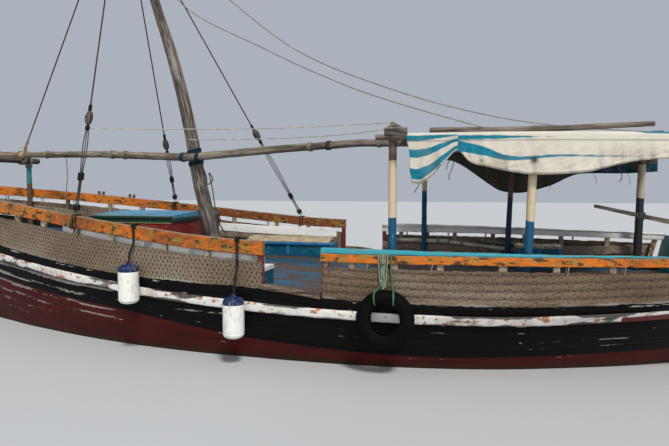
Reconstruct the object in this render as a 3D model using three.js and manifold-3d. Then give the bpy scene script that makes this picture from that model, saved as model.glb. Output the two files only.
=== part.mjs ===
// Wooden dhow of about 12 m, afloat: +X to the bow, +Y to port, +Z up, millimetres.
// The origin is on the centreline at the waterline, amidships.
import * as THREE from 'three';
import { mergeVertices } from 'three/addons/utils/BufferGeometryUtils.js';
import Module from 'manifold-3d';

const wasm = await Module();
wasm.setup();

// Driving sizes
const GAP = 0.3; // between pieces that touch
const KEEL_HALF = 80;
const KEEL_BOTTOM = -980;
const STERN = -5850; // aft end of the planking at the waterline
const BOW = 5800; // fore end of the planking
const LEAN = -0.22; // how far the stern rakes aft for each unit of height
const LEAN_START = -4900;
const RIM = 75; // thickness of the planking and frames above the deck
const DECK_THICK = 35;
const STEP = 450; // where the foredeck steps up
const GANGWAY = { aft: -1930, fore: -1290 };

// Lines of the hull, each a table of [x, value]
const HALF_BEAM = [[-5850, 1450], [-5450, 1600], [-5000, 1740], [-4000, 1950], [-3000, 2040], [-2000, 2060],
  [-1000, 2030], [0, 1950], [1000, 1800], [2000, 1580], [3000, 1290], [4000, 950], [5000, 520], [5800, 100]];
const SHEER = [[-5850, 865], [-5450, 822], [-5000, 790], [-4000, 750], [-3000, 742], [-2000, 765], [-1300, 836],
  [0, 875], [1000, 940], [2000, 1050], [3000, 1190], [4000, 1340], [5000, 1505], [5800, 1660]];
const RABBET = [[-5850, -600], [-4900, -680], [-3000, -760], [0, -780], [2500, -760], [3400, -700],
  [3900, -540], [4400, -200], [4900, 270], [5300, 790], [5600, 1230], [5800, 1550]];
const HOLLOW = [[-5850, 0.6], [-4900, 0.38], [-3000, 0.12], [0, 0.02], [2500, 0.15], [4000, 0.42], [5800, 0.65]];
const DECK_AFT = [[-5850, 745], [-4900, 708], [-3000, 688], [-1950, 702], [-1300, 742], [450, 795]];
const DECK_FORE = [[450, 858], [1000, 886], [2000, 985], [3000, 1108], [4000, 1245], [5000, 1400], [5800, 1625]];
const RAIL = [[-1290, 1350], [-580, 1392], [150, 1462], [1000, 1555], [2000, 1670], [3000, 1778], [4000, 1876],
  [5000, 1975], [5800, 2060]];
const RAIL_AFT_TOP = 1245;
const CAP_AFT = { top: 1302, slope: 0.0135 }; // the painted cap's top at the gangway, and how it falls aft
const WALE_TOP = [[-5850, 790], [-5200, 722], [-4000, 662], [-3250, 650], [-2000, 665], [-1300, 690], [0, 765],
  [950, 850], [2000, 960], [3000, 1085], [4000, 1225], [5000, 1380], [5800, 1525]];
const STATIONS = [-5850, -5550, -5200, -4900, -4500, -4000, -3500, -3000, -2500, -2000, -1500, -1000, -500, 0,
  STEP - 5, STEP + 5, 1000, 1500, 2000, 2500, 3000, 3400, 3700, 4000, 4300, 4600, 4900, 5200, 5450, 5650, 5800];

// A smooth curve through a table, sampled at the stations and straight between them
function hermite(table, x) {
  const last = table.length - 1;
  if (x <= table[0][0]) return table[0][1];
  if (x >= table[last][0]) return table[last][1];
  const i = table.findIndex((row, k) => k < last && x <= table[k + 1][0]);
  const slope = (k) => {
    const a = Math.max(k - 1, 0);
    const b = Math.min(k + 1, last);
    return (table[b][1] - table[a][1]) / (table[b][0] - table[a][0]);
  };
  const span = table[i + 1][0] - table[i][0];
  const t = (x - table[i][0]) / span;
  return (2 * t ** 3 - 3 * t ** 2 + 1) * table[i][1] + (t ** 3 - 2 * t ** 2 + t) * span * slope(i)
    + (3 * t ** 2 - 2 * t ** 3) * table[i + 1][1] + (t ** 3 - t ** 2) * span * slope(i + 1);
}
function byStation(line) {
  const values = STATIONS.map(line);
  return (x) => {
    if (x <= STATIONS[0]) return values[0];
    const i = Math.min(STATIONS.findIndex((s) => s >= x), STATIONS.length - 1);
    const t = (x - STATIONS[i - 1]) / (STATIONS[i] - STATIONS[i - 1]);
    return values[i - 1] * (1 - t) + values[i] * t;
  };
}
const fair = (table) => byStation((x) => hermite(table, x));
const halfBeam = fair(HALF_BEAM);
const sheer = fair(SHEER);
const rabbet = fair(RABBET);
const hollow = fair(HOLLOW);
const railFore = fair(RAIL);
const waleTop = fair(WALE_TOP);
const deckAft = fair(DECK_AFT);
const deckFore = fair(DECK_FORE);
const deck = (x) => (x < STEP ? deckAft(x) : deckFore(x));
const lean = (x) => LEAN * Math.max(0, (LEAN_START - x) / (LEAN_START - STERN));
const at = (x, y, z) => [x + lean(x) * z, y, z];
// The stations from one place to another, with both ends
const span = (a, b) => [a, ...STATIONS.filter((s) => s > a + 1 && s < b - 1), b];

// Section of the planking: t runs from 0 at the rabbet to 1 at the sheer
const SECTION_STEPS = 12;
function flare(x, t) {
  const full = (1 - (1 - t) ** 2.4) ** (1 / 1.6);
  const vee = t ** 1.7;
  const m = hollow(x);
  return KEEL_HALF + (halfBeam(x) - KEEL_HALF) * ((1 - m) * full + m * vee);
}
const sectionPoint = (x, k) => {
  const t = k / SECTION_STEPS;
  return [flare(x, t), rabbet(x) + (sheer(x) - rabbet(x)) * t];
};
// Half breadth of the faceted planking at a height
function skin(x, z) {
  const f = SECTION_STEPS * (z - rabbet(x)) / (sheer(x) - rabbet(x));
  const k = Math.min(Math.max(Math.floor(f), 0), SECTION_STEPS - 1);
  const [y0] = sectionPoint(x, k);
  const [y1] = sectionPoint(x, k + 1);
  return y0 + (y1 - y0) * (f - k);
}

// Half breadth of the wall inside the rim, from the deck's underside to the sheer
const floor = (x) => deck(x) - DECK_THICK;
function wall(x, z) {
  const low = skin(x, floor(x)) - RIM;
  const high = halfBeam(x) - RIM;
  return Math.max(low + (high - low) * (z - floor(x)) / (sheer(x) - floor(x)), 5);
}

// A closed mesh from points and triangles, turned to face out
function closed(points, triangles) {
  let volume = 0;
  for (const [a, b, c] of triangles) {
    const [p, q, r] = [points[a], points[b], points[c]];
    volume += p[0] * (q[1] * r[2] - q[2] * r[1]) - p[1] * (q[0] * r[2] - q[2] * r[0])
      + p[2] * (q[0] * r[1] - q[1] * r[0]);
  }
  const faces = volume > 0 ? triangles : triangles.map(([a, b, c]) => [a, c, b]);
  const geometry = new THREE.BufferGeometry();
  geometry.setAttribute('position', new THREE.Float32BufferAttribute(points.flat(), 3));
  geometry.setIndex(faces.flat());
  return geometry;
}
// Triangles that fill a flat loop of points, turned the way the loop runs
function fill(section) {
  const n = section.length;
  const normal = [0, 1, 2].map((i) => {
    const [j, k] = [(i + 1) % 3, (i + 2) % 3];
    return section.reduce((sum, p, m) => sum + p[j] * section[(m + 1) % n][k] - section[(m + 1) % n][j] * p[k], 0);
  });
  const drop = normal.map(Math.abs).indexOf(Math.max(...normal.map(Math.abs)));
  const [j, k] = [(drop + 1) % 3, (drop + 2) % 3];
  const outline = section.map((p) => new THREE.Vector2(p[j], p[k]));
  return THREE.ShapeUtils.triangulateShape(outline, []).map(([a, b, c]) => {
    const ab = outline[b].clone().sub(outline[a]);
    const ac = outline[c].clone().sub(outline[a]);
    return Math.sign(ab.cross(ac)) === Math.sign(normal[drop]) ? [a, b, c] : [a, c, b];
  });
}
// A solid through a row of like sections, each a loop of points
function loft(sections) {
  const n = sections[0].length;
  const last = (sections.length - 1) * n;
  const triangles = [];
  for (let s = 0; s + 1 < sections.length; s += 1) {
    for (let k = 0; k < n; k += 1) {
      const a = s * n + k;
      const b = s * n + (k + 1) % n;
      triangles.push([a, b, b + n], [a, b + n, a + n]);
    }
  }
  for (const [a, b, c] of fill(sections[0])) triangles.push([a, c, b]);
  for (const [a, b, c] of fill(sections[sections.length - 1])) triangles.push([a + last, b + last, c + last]);
  return closed(sections.flat(), triangles);
}
// A solid that follows the side: section(x) gives [y, z] pairs
const ribbon = (a, b, section) => loft(span(a, b).map((x) => section(x).map(([y, z]) => at(x, y, z))));
// A box between two corners
function box(x0, x1, y0, y1, z0, z1) {
  const g = new THREE.BoxGeometry(x1 - x0, y1 - y0, z1 - z0);
  return g.translate((x0 + x1) / 2, (y0 + y1) / 2, (z0 + z1) / 2);
}
// An outline in the x, z plane, extruded to both sides of the centreline
function profile(points, half) {
  const outline = points.map(([x, z]) => [x, -half, z]);
  const other = points.map(([x, z]) => [x, half, z]);
  return loft([outline, other]);
}
// A round log whose rings lie flat: rows of [x, y, z, radius]
function upright(rows, sides) {
  return loft(rows.map(([x, y, z, r]) => Array.from({ length: sides }, (_, k) => {
    const a = 2 * Math.PI * k / sides;
    return [x + r * Math.cos(a), y + r * Math.sin(a), z];
  })));
}
// A round log along a path of [x, y, z, radius], its ends cut aslant by [start, end]
function log(rows, sides, scarf = [0, 0]) {
  const points = rows.map((r) => new THREE.Vector3(r[0], r[1], r[2]));
  const sections = rows.map((row, i) => {
    const ahead = points[Math.min(i + 1, rows.length - 1)];
    const behind = points[Math.max(i - 1, 0)];
    const along = ahead.clone().sub(behind).normalize();
    const side = new THREE.Vector3(0, 0, 1).cross(along);
    if (side.length() < 0.2) side.set(0, 1, 0).cross(along);
    side.normalize();
    const up = along.clone().cross(side);
    const slant = i === 0 ? scarf[0] : (i === rows.length - 1 ? scarf[1] : 0);
    return Array.from({ length: sides }, (_, k) => {
      const a = 2 * Math.PI * k / sides;
      const p = points[i].clone().addScaledVector(side, row[3] * Math.cos(a))
        .addScaledVector(up, row[3] * Math.sin(a)).addScaledVector(along, slant * row[3] * Math.sin(a));
      return p.toArray();
    });
  });
  return loft(sections);
}
// The same piece on the other side
function mirrored(geometry) {
  const g = geometry.clone();
  const p = g.attributes.position;
  for (let i = 0; i < p.count; i += 1) p.setY(i, -p.getY(i));
  const index = g.index.array;
  for (let i = 0; i < index.length; i += 3) [index[i + 1], index[i + 2]] = [index[i + 2], index[i + 1]];
  return g;
}

// Joining and cutting
function solid(geometry) {
  const bare = geometry.clone();
  for (const name of Object.keys(bare.attributes)) if (name !== 'position') bare.deleteAttribute(name);
  const g = mergeVertices(bare, 1e-4);
  return new wasm.Manifold(new wasm.Mesh({
    numProp: 3,
    vertProperties: new Float32Array(g.attributes.position.array),
    triVerts: new Uint32Array(g.index.array),
  }));
}
function surface(manifold) {
  const mesh = manifold.getMesh();
  const g = new THREE.BufferGeometry();
  g.setAttribute('position', new THREE.BufferAttribute(new Float32Array(mesh.vertProperties), 3));
  g.setIndex(new THREE.BufferAttribute(new Uint32Array(mesh.triVerts), 1));
  return g;
}
const joined = (...parts) => surface(parts.map(solid).reduce((a, b) => a.add(b)));
const cut = (body, ...holes) => surface(holes.map(solid).reduce((a, b) => a.subtract(b), solid(body)));

// Finishes
const PAINT = {
  black: [0x2b2a2c, 0.6], cream: [0xd9d3c0, 0.7], teal: [0x2f8f8c, 0.6], orange: [0xb4602a, 0.5],
  deck: [0x7d8a8c, 0.8], mat: [0x8a7a60, 0.95], maroon: [0x6b2a26, 0.6], blue: [0x9cc4d8, 0.6],
  navy: [0x1f3350, 0.6], timber: [0x8f8577, 0.85], bark: [0x4b3d33, 0.9], canvas: [0xd8d4c4, 0.95],
  white: [0xe6e4dc, 0.6], rubber: [0x191919, 0.9], rope: [0x4a4038, 0.95],
};
const boat = new THREE.Group();
function add(name, geometry, paint, parent = boat) {
  const [color, roughness] = PAINT[paint];
  const mesh = new THREE.Mesh(geometry, new THREE.MeshStandardMaterial({ color, roughness, metalness: 0 }));
  mesh.name = name;
  parent.add(mesh);
  return mesh;
}
function addBoth(name, geometry, paint) {
  add(`${name}_port`, geometry, paint);
  add(`${name}_starboard`, mirrored(geometry), paint);
}

// Hull: two halves that meet at the centreline, with a rim above the deck
const HALF_GAP = GAP / 2;
const hullHalf = loft(STATIONS.map((x) => {
  const side = Array.from({ length: SECTION_STEPS + 1 }, (_, k) => sectionPoint(x, k));
  return [[HALF_GAP, rabbet(x)], ...side, [wall(x, sheer(x)), sheer(x)], [wall(x, floor(x)), floor(x)],
    [HALF_GAP, floor(x)]]
    .map(([y, z]) => at(x, y, z));
}));
addBoth('hull', hullHalf, 'black');

// Wales: a white rubbing band that stands out from each side, cut to the planking
const WALE = { tall: 100, proud: 28, deep: 25, off: 0.5, aft: STERN + 30, fore: 5650 };
const waleBand = ribbon(WALE.aft, WALE.fore, (x) => {
  const top = waleTop(x);
  const low = top - WALE.tall;
  return [[skin(x, low) - WALE.deep, low], [skin(x, low) + WALE.proud, low],
    [skin(x, top) + WALE.proud, top], [skin(x, top) - WALE.deep, top]];
});
addBoth('wale', cut(waleBand, hullHalf.clone().translate(0, WALE.off, 0)), 'white');

// Keel and stem follow the rabbet, the sternpost leans with the stern
const TRANSOM_THICK = 45;
const POST_DEEP = 130;
const POST_TOP = 1195;
const postFace = (z) => STERN + LEAN * z - GAP - TRANSOM_THICK - GAP;
const STEM_JOINT = 3400;
const STEM_DEEP = 170;
const keelLine = STATIONS.filter((x) => x <= STEM_JOINT).map((x) => [at(x, 0, rabbet(x))[0], rabbet(x) - GAP]);
const keelAft = (z) => postFace(z) + GAP;
add('keel', profile([[keelAft(KEEL_BOTTOM), KEEL_BOTTOM], [keelAft(rabbet(STERN) - GAP), rabbet(STERN) - GAP],
  ...keelLine, [STEM_JOINT, KEEL_BOTTOM]], KEEL_HALF), 'bark');
const stemLine = STATIONS.filter((x) => x >= STEM_JOINT).map((x) => [x + GAP, rabbet(x) - GAP]);
const STEM_HEAD = 2250;
const outer = stemLine.slice(1).map(([x, z], i) => {
  const [x0, z0] = stemLine[i];
  const length = Math.hypot(x - x0, z - z0);
  return [x + STEM_DEEP * (z - z0) / length, Math.max(z - STEM_DEEP * (x - x0) / length, KEEL_BOTTOM)];
});
const [lastX, lastZ] = outer[outer.length - 1];
add('stem', profile([[STEM_JOINT + GAP, KEEL_BOTTOM], ...stemLine, [BOW + GAP, sheer(BOW)],
  [BOW + 60, STEM_HEAD], [BOW + 200, STEM_HEAD], [lastX + 40, lastZ + 120],
  ...outer.slice(2).reverse(), [STEM_JOINT + 420, KEEL_BOTTOM + 60], [STEM_JOINT + 200, KEEL_BOTTOM]],
KEEL_HALF), 'bark');

// Transom: the last section, carried up to a crowned top
const CROWN = { side: RAIL_AFT_TOP - 20, centre: 1290 };
const half = Array.from({ length: SECTION_STEPS + 1 }, (_, k) => sectionPoint(STERN, k));
const sternEdge = [...half, [halfBeam(STERN) + 5, CROWN.side]];
const crown = [-0.66, -0.33, 0, 0.33, 0.66].map((f) => [-f * halfBeam(STERN),
  CROWN.side + (CROWN.centre - CROWN.side) * (1 - f * f)]);
const sternOutline = [...sternEdge, ...crown, ...sternEdge.map(([y, z]) => [-y, z]).reverse()];
add('transom', loft([GAP, GAP + TRANSOM_THICK].map((back) => sternOutline
  .map(([y, z]) => [STERN + LEAN * z - back, y, z]))), 'teal');

// Rudder, hung on three gudgeons about an axis parallel to the sternpost
const AXIS_BACK = 55; // from the sternpost's face to the axis
const hang = new THREE.Group();
hang.position.set(postFace(0) - POST_DEEP - AXIS_BACK, 0, 0);
hang.rotation.y = Math.atan(LEAN);
hang.updateMatrix();
const FACE = AXIS_BACK * Math.cos(Math.atan(LEAN));
const STOCK = 42;
const PINTLES = [-600, 50, 750];
const drum = (r, z0, z1, sides = 20) => {
  const g = new THREE.CylinderGeometry(r, r, z1 - z0, sides);
  return g.rotateX(Math.PI / 2).translate(0, 0, (z0 + z1) / 2);
};
const RING = { outer: 34, inner: 18, half: 50, arm: 22 };
const post = profile([[postFace(KEEL_BOTTOM), KEEL_BOTTOM], [postFace(POST_TOP), POST_TOP],
  [postFace(POST_TOP) - POST_DEEP, POST_TOP], [postFace(KEEL_BOTTOM) - POST_DEEP, KEEL_BOTTOM]], 70);
const inHull = (geometry) => geometry.applyMatrix4(hang.matrix);
const rings = PINTLES.map((z) => joined(drum(RING.outer, z - RING.half, z + RING.half),
  box(24, FACE + 30, -RING.arm, RING.arm, z - RING.half, z + RING.half)));
const eyes = PINTLES.map((z) => drum(RING.inner, z - 100, z + 100));
add('sternpost', cut(joined(post, ...rings.map(inHull)), ...eyes.map(inHull)), 'bark');

const BLADE = [[0, -930], [-600, -930], [-620, -700], [-520, -150], [-330, 350], [-190, 800], [-120, 1290],
  [0, 1290]];
const NOTCH = { below: RING.half + 10, above: RING.half + 0.5 }; // the stock bears on the rings
const PIN = 14;
const HEAD = { back: -140, front: 45, half: 65, low: 1290, top: 1480 };
const MORTISE = { half: 30, low: 1365, top: 1435 };
const bladeBody = joined(profile(BLADE, 35), drum(STOCK, -930, HEAD.low + 10),
  box(HEAD.back, HEAD.front, -HEAD.half, HEAD.half, HEAD.low, HEAD.top));
const notched = cut(bladeBody, ...PINTLES.map((z) => box(-60, 60, -80, 80, z - NOTCH.below, z + NOTCH.above)),
  box(-300, 300, -MORTISE.half - GAP, MORTISE.half + GAP, MORTISE.low - GAP, MORTISE.top + GAP));
const pins = PINTLES.map((z) => drum(PIN, z - NOTCH.below - 5, z + NOTCH.above + 5, 12));
add('rudder', joined(notched, ...pins), 'maroon', hang);
const TILLER = [[HEAD.back - 60, 1], [HEAD.front + 60, 1], [1500, 0.6]]; // x and how much of the full width
add('tiller', loft(TILLER.map(([x, f]) => [[-1, -1], [1, -1], [1, 1], [-1, 1]]
  .map(([u, v]) => [x, u * MORTISE.half * f, (MORTISE.low + MORTISE.top) / 2 + v * 35 * f]))), 'timber', hang);
boat.add(hang);

// Decks lie in the rim
const DECK_SIDE = 4; // clear of the rim's wall
const deckPlank = (a, b) => ribbon(a, b, (x) => {
  const low = floor(x) + GAP;
  const [y0, y1] = [wall(x, low) - DECK_SIDE, wall(x, deck(x)) - DECK_SIDE];
  return [[-y0, low], [y0, low], [y1, deck(x)], [-y1, deck(x)]];
});
add('deck_aft', deckPlank(STERN, GANGWAY.aft - GAP), 'deck');
add('deck_midship', deckPlank(GANGWAY.aft, STEP - 5), 'deck');
add('deck_fore', deckPlank(STEP + 5, 5450), 'deck');

// Bulwarks: a rail on stanchions, with a painted cap aft
const FORE_RAIL = { tall: 148, proud: 5 };
const AFT_RAIL = { tall: 85, proud: 5, capIn: 95, capOut: 14 };
const STANCHION = { inner: 73, outer: 22, half: 35 };
const stanchion = (x, top, extra = 0) => ribbon(x - STANCHION.half - extra, x + STANCHION.half, (s) => [
  [halfBeam(s) - STANCHION.inner, sheer(s) + GAP], [halfBeam(s) - STANCHION.outer, sheer(s) + GAP],
  [halfBeam(s) - STANCHION.outer, top(s)], [halfBeam(s) - STANCHION.inner, top(s)]]);
const FORE_STANCHIONS = [-1255, -620, -60, 700, 1250, 1800, 2300, 2850, 3550, 4150, 4750, 5330];
const foreRail = ribbon(GANGWAY.fore, BOW, (x) => {
  const y = halfBeam(x);
  const inner = Math.max(y - RIM, 10);
  const top = railFore(x);
  return [[inner, top - FORE_RAIL.tall], [y + FORE_RAIL.proud, top - FORE_RAIL.tall],
    [y + FORE_RAIL.proud, top], [inner, top]];
});
const foreUnder = (s) => railFore(s) - FORE_RAIL.tall / 2;
addBoth('bulwark_fore', joined(foreRail, ...FORE_STANCHIONS.map((x) => stanchion(x, foreUnder))), 'orange');
const AFT_STANCHIONS = [-5760, -5300, -4780, -4250, -3750, -3150, -2700, -2250, -1965];
const aftRail = ribbon(STERN, GANGWAY.aft, (x) => {
  const y = halfBeam(x);
  const top = CAP_AFT.top + CAP_AFT.slope * (x - GANGWAY.aft);
  return [[y - RIM, RAIL_AFT_TOP - AFT_RAIL.tall], [y + AFT_RAIL.proud, RAIL_AFT_TOP - AFT_RAIL.tall],
    [y + AFT_RAIL.proud, RAIL_AFT_TOP], [y - AFT_RAIL.capOut, RAIL_AFT_TOP], [y - AFT_RAIL.capOut, top],
    [y - AFT_RAIL.capIn, top], [y - AFT_RAIL.capIn, RAIL_AFT_TOP], [y - RIM, RAIL_AFT_TOP]];
});
const aftUnder = () => RAIL_AFT_TOP - AFT_RAIL.tall / 2;
addBoth('bulwark_aft', joined(aftRail, ...AFT_STANCHIONS.map((x) => stanchion(x, aftUnder))), 'teal');

// Mats hang outside the stanchions, from under the rail to the sheer
const MAT = { inner: 21.5, outer: 4, foot: 3, underFore: 67, underAft: 50 };
const mat = (a, b, top) => ribbon(a, b, (x) => {
  const y = halfBeam(x);
  return [[y - MAT.inner, sheer(x) + MAT.foot], [y - MAT.outer, sheer(x) + MAT.foot],
    [y - MAT.outer, top(x)], [y - MAT.inner, top(x)]];
});
addBoth('mat_fore', mat(GANGWAY.fore, 5450, (x) => railFore(x) - FORE_RAIL.tall - MAT.underFore), 'mat');
addBoth('mat_aft', mat(STERN + 50, GANGWAY.aft, () => RAIL_AFT_TOP - AFT_RAIL.tall - MAT.underAft), 'mat');

// Trunk box on the foredeck, open below its two lids
const TRUNK = { aft: 500, fore: 1700, half: 750, wall: 30, top: 1500 };
const trunkOuter = ribbon(TRUNK.aft, TRUNK.fore, (x) => [[-TRUNK.half, deck(x) + GAP], [TRUNK.half, deck(x) + GAP],
  [TRUNK.half, TRUNK.top], [-TRUNK.half, TRUNK.top]]);
add('trunk_box', cut(trunkOuter, box(TRUNK.aft + TRUNK.wall, TRUNK.fore - TRUNK.wall,
  TRUNK.wall - TRUNK.half, TRUNK.half - TRUNK.wall, 0, TRUNK.top + 100)), 'maroon');
const LID = { edge: 790, thin: 25, thick: 70, over: 40 };
const leaf = ribbon(TRUNK.aft - 5, TRUNK.fore + LID.over, () => [[LID.edge, TRUNK.top + GAP],
  [LID.edge, TRUNK.top + LID.thin], [LID.edge / 2, TRUNK.top + LID.thick - 12], [3, TRUNK.top + LID.thick],
  [3, TRUNK.top + GAP]]);
add('trunk_lid_port', leaf, 'blue');
add('trunk_lid_starboard', mirrored(leaf), 'blue');

// Side benches amidships, and the canvas thrown over the starboard one
const BENCH = { aft: -1200, fore: 350, inner: 1450, outer: 1790, seat: 985, lip: 25, board: 30 };
const bench = ribbon(BENCH.aft, BENCH.fore, (x) => [[BENCH.inner, deck(x) + GAP], [BENCH.outer, deck(x) + GAP],
  [BENCH.outer, BENCH.seat], [BENCH.inner - BENCH.lip, BENCH.seat],
  [BENCH.inner - BENCH.lip, BENCH.seat - BENCH.board], [BENCH.inner, BENCH.seat - BENCH.board]]);
addBoth('bench', bench, 'navy');
const COVER = { aft: -1150, fore: 330, inner: 1440, outer: 1790, base: 985.5, rise: 70 };
add('canvas_cover', mirrored(loft([COVER.aft, (COVER.aft + COVER.fore) / 2, COVER.fore].map((x) => [
  [x, COVER.inner, COVER.base], [x, COVER.outer, COVER.base], [x, COVER.outer, COVER.base + COVER.rise],
  [x, COVER.inner, COVER.base + COVER.rise * 0.7]]))), 'canvas');

// Locker on the after deck, hollow, with a hinged lid
const LOCKER = { aft: -4720, fore: -4080, inner: 1180, outer: 1610, top: 1010, wall: 22, lid: 35 };
const lockerOuter = ribbon(LOCKER.aft, LOCKER.fore, (x) => [[-LOCKER.outer, deck(x) + GAP],
  [-LOCKER.inner, deck(x) + GAP], [-LOCKER.inner, LOCKER.top], [-LOCKER.outer, LOCKER.top]]);
add('locker', cut(lockerOuter, box(LOCKER.aft + LOCKER.wall, LOCKER.fore - LOCKER.wall, LOCKER.wall - LOCKER.outer,
  -LOCKER.inner - LOCKER.wall, deck(LOCKER.aft) + 30, LOCKER.top + 50)), 'navy');
add('locker_lid', box(LOCKER.aft - 10, LOCKER.fore + 10, -LOCKER.outer, -LOCKER.inner + 12,
  LOCKER.top + 0.5, LOCKER.top + LOCKER.lid), 'cream');

// Mast, raked forward and bending, in a chock on the deck
const MAST_FOOT = 100;
const MAST = [[MAST_FOOT, 0, deck(MAST_FOOT + 110) + GAP, 105], [300, 0, 1400, 102], [454, 0, 2000, 98],
  [590, 0, 2750, 92], [824, 0, 3700, 80], [1129, 0, 4650, 66], [1420, 0, 5560, 56],
  [1680, 0, 6340, 48]]; // x, y, z, radius
add('mast', upright(MAST, 16), 'timber');
const CHOCK = { aft: -110, fore: 330, half: 350, tall: 130 };
const rake = (MAST[1][0] - MAST[0][0]) / (MAST[1][2] - MAST[0][2]);
const mastHole = upright([-60, 240].map((up) => [MAST_FOOT + rake * up, 0, MAST[0][2] + up, MAST[0][3] + 1.5]), 16);
const chockBody = ribbon(CHOCK.aft, CHOCK.fore, (x) => [[-CHOCK.half, deck(x) + GAP], [CHOCK.half, deck(x) + GAP],
  [CHOCK.half, deck(x) + CHOCK.tall], [-CHOCK.half, deck(x) + CHOCK.tall]]);
add('mast_chock', cut(chockBody, mastHole), 'bark');

// Yard: three poles scarfed end to end, from the crutch past the mast to under the first crossbeam
const YARD = [[6150, -1080, 2520, 40], [4050, -600, 2462, 50], [2250, -240, 2432, 53], [517, 154.5, 2345, 56],
  [-900, 350, 2432, 52], [-2050, 560, 2478, 46], [-2650, 640, 2461.5, 43], [-3250, 720, 2459, 40]];
const yardAt = (x) => {
  const i = YARD.findIndex((row, k) => x <= row[0] && x >= YARD[k + 1][0]);
  const t = (x - YARD[i][0]) / (YARD[i + 1][0] - YARD[i][0]);
  return YARD[i].map((v, k) => v * (1 - t) + YARD[i + 1][k] * t);
};
const SCARF = 5; // length of the slanted cut for each radius
const SCARF_GAP = 1.2;
const yardPole = (a, b, cuts) => log([yardAt(a), ...YARD.filter((r) => r[0] < a - 300 && r[0] > b + 300), yardAt(b)],
  12, cuts);
add('yard_fore', yardPole(6150, 1900, [0, SCARF]), 'timber');
add('yard_middle', yardPole(1900 - SCARF_GAP, -1500, [SCARF, SCARF]), 'timber');
add('yard_aft', yardPole(-1500 - SCARF_GAP, -3250, [SCARF, 0]), 'timber');

// Crutch for the yard, near the bow
const CRUTCH = { x: 4050, half: 745, r: 45, bar: 48 };
const crutchTop = yardAt(CRUTCH.x)[2] - yardAt(CRUTCH.x)[3] - 2 * CRUTCH.bar - 0.5;
addBoth('crutch_post', upright([[CRUTCH.x, CRUTCH.half, deckFore(CRUTCH.x + CRUTCH.r) + 0.4, CRUTCH.r],
  [CRUTCH.x, CRUTCH.half, crutchTop - GAP, CRUTCH.r - 5]], 12), 'teal');
add('crutch_bar', log([[CRUTCH.x, -960, crutchTop + CRUTCH.bar, CRUTCH.bar],
  [CRUTCH.x, 960, crutchTop + CRUTCH.bar, CRUTCH.bar]], 12), 'bark');

// Awning: posts in pairs, a bent crossbeam on each pair, a pole along each side, the cloth over all
// Columns: name, x, lean of the top, how far the crossbeam runs past the post, radius of the post, how far in from
// the side it stands, its top, radius of the crossbeam and how far its bend rises amidships
const PAIRS = [['fore', -2650, 0, 215, 44, 162, 2470, 34, 53], ['middle', -3970, -60, 32, 44, 162, 2400, 28, 110],
  ['aft', -5740, -30, 44, 56, 206, 2400, 28, 110]];
const POST_TAPER = 4;
for (const [name, x, tip, past, r, inset, top, beamR, rise] of PAIRS) {
  const y = halfBeam(x) - inset;
  const foot = Math.max(deck(x - r), deck(x + r)) + 0.4;
  addBoth(`awning_post_${name}`, upright([[x, y, foot, r], [x + tip, y, top, r - POST_TAPER]], 12), 'cream');
  const seat = top + rise * (r - POST_TAPER) / y + beamR; // the slanting crossbeam clears the post's edge
  const [low, high] = [seat - rise * past / y, seat + rise];
  add(`crossbeam_${name}`, log([[x + tip, -y - past, low, beamR], [x + tip, 0, high, beamR],
    [x + tip, y + past, low, beamR]], 12), 'timber');
}
const POLE = { r: 30, z: 2428, past: 330, ease: 1.6 }; // ease: room where a pole crosses its post at a slant
const poleAtPosts = PAIRS.map(([, x, tip, , r, inset]) => [x + 0.98 * tip,
  halfBeam(x) - inset + r - POST_TAPER + POLE.ease + POLE.r + GAP, POLE.z, POLE.r]);
const beyond = ([ax, ay], [bx, by], past) => {
  const k = past / Math.hypot(ax - bx, ay - by);
  return [ax + (ax - bx) * k, ay + (ay - by) * k, POLE.z, POLE.r];
};
const poleRows = [beyond(poleAtPosts[0], poleAtPosts[1], POLE.past / 2), ...poleAtPosts,
  beyond(poleAtPosts[2], poleAtPosts[1], POLE.past)];
addBoth('awning_pole', log(poleRows, 12), 'timber');
const lineY = (x) => {
  const i = Math.max(poleRows.findIndex((row) => row[0] <= x), 1);
  const [a, b] = [poleRows[i - 1], poleRows[i]];
  return a[1] + (b[1] - a[1]) * (x - a[0]) / (b[0] - a[0]);
};
const CLOTH = { thick: 12, clear: 0.8, out: 12, edge: POLE.z + POLE.r, ridge: 2572 };
// Columns: x, height of the skirt's hem
const CLOTH_ROWS = [[-2730, 2330], [-2850, 2060], [-3300, 2290], [-4029, 2060], [-4300, 2045], [-4860, 2150],
  [-5438, 2210], [-5769.4, 2230], [-5990, 2238]];
add('awning_cloth', loft(CLOTH_ROWS.map(([x, hem]) => {
  const y = lineY(x) + POLE.r + CLOTH.out;
  const line = [[y, hem], [y, POLE.z + 26], [lineY(x), CLOTH.edge + CLOTH.clear], [0, CLOTH.ridge]];
  const under = [...line, ...line.slice(0, -1).reverse().map(([a, b]) => [-a, b])];
  const over = under.map(([a, b], k) => {
    const edge = k < 2 || k > under.length - 3;
    return [a + (edge ? Math.sign(a) * CLOTH.thick : 0), b + (edge ? 0 : CLOTH.thick)];
  });
  return [...under, ...over.reverse()].map(([a, b]) => [x, a, b]);
})), 'canvas');
// A spare pole lies along the port side of the roof, its after end bent up
const ROOF_POLE = [[-2980, 1420, 34, 0], [-4029, 1350, 32, 0], [-5230, 1250, 26, 55]]; // x, y, radius, how far up
const roofTop = (x, y) => CLOTH.edge + CLOTH.clear + CLOTH.thick
  + (CLOTH.ridge - CLOTH.edge - CLOTH.clear) * (1 - y / lineY(x));
add('roof_pole', log(ROOF_POLE.map(([x, y, r, up]) => [x, y, roofTop(x, y) + r + 0.5 + up, r]), 12), 'timber');

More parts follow.
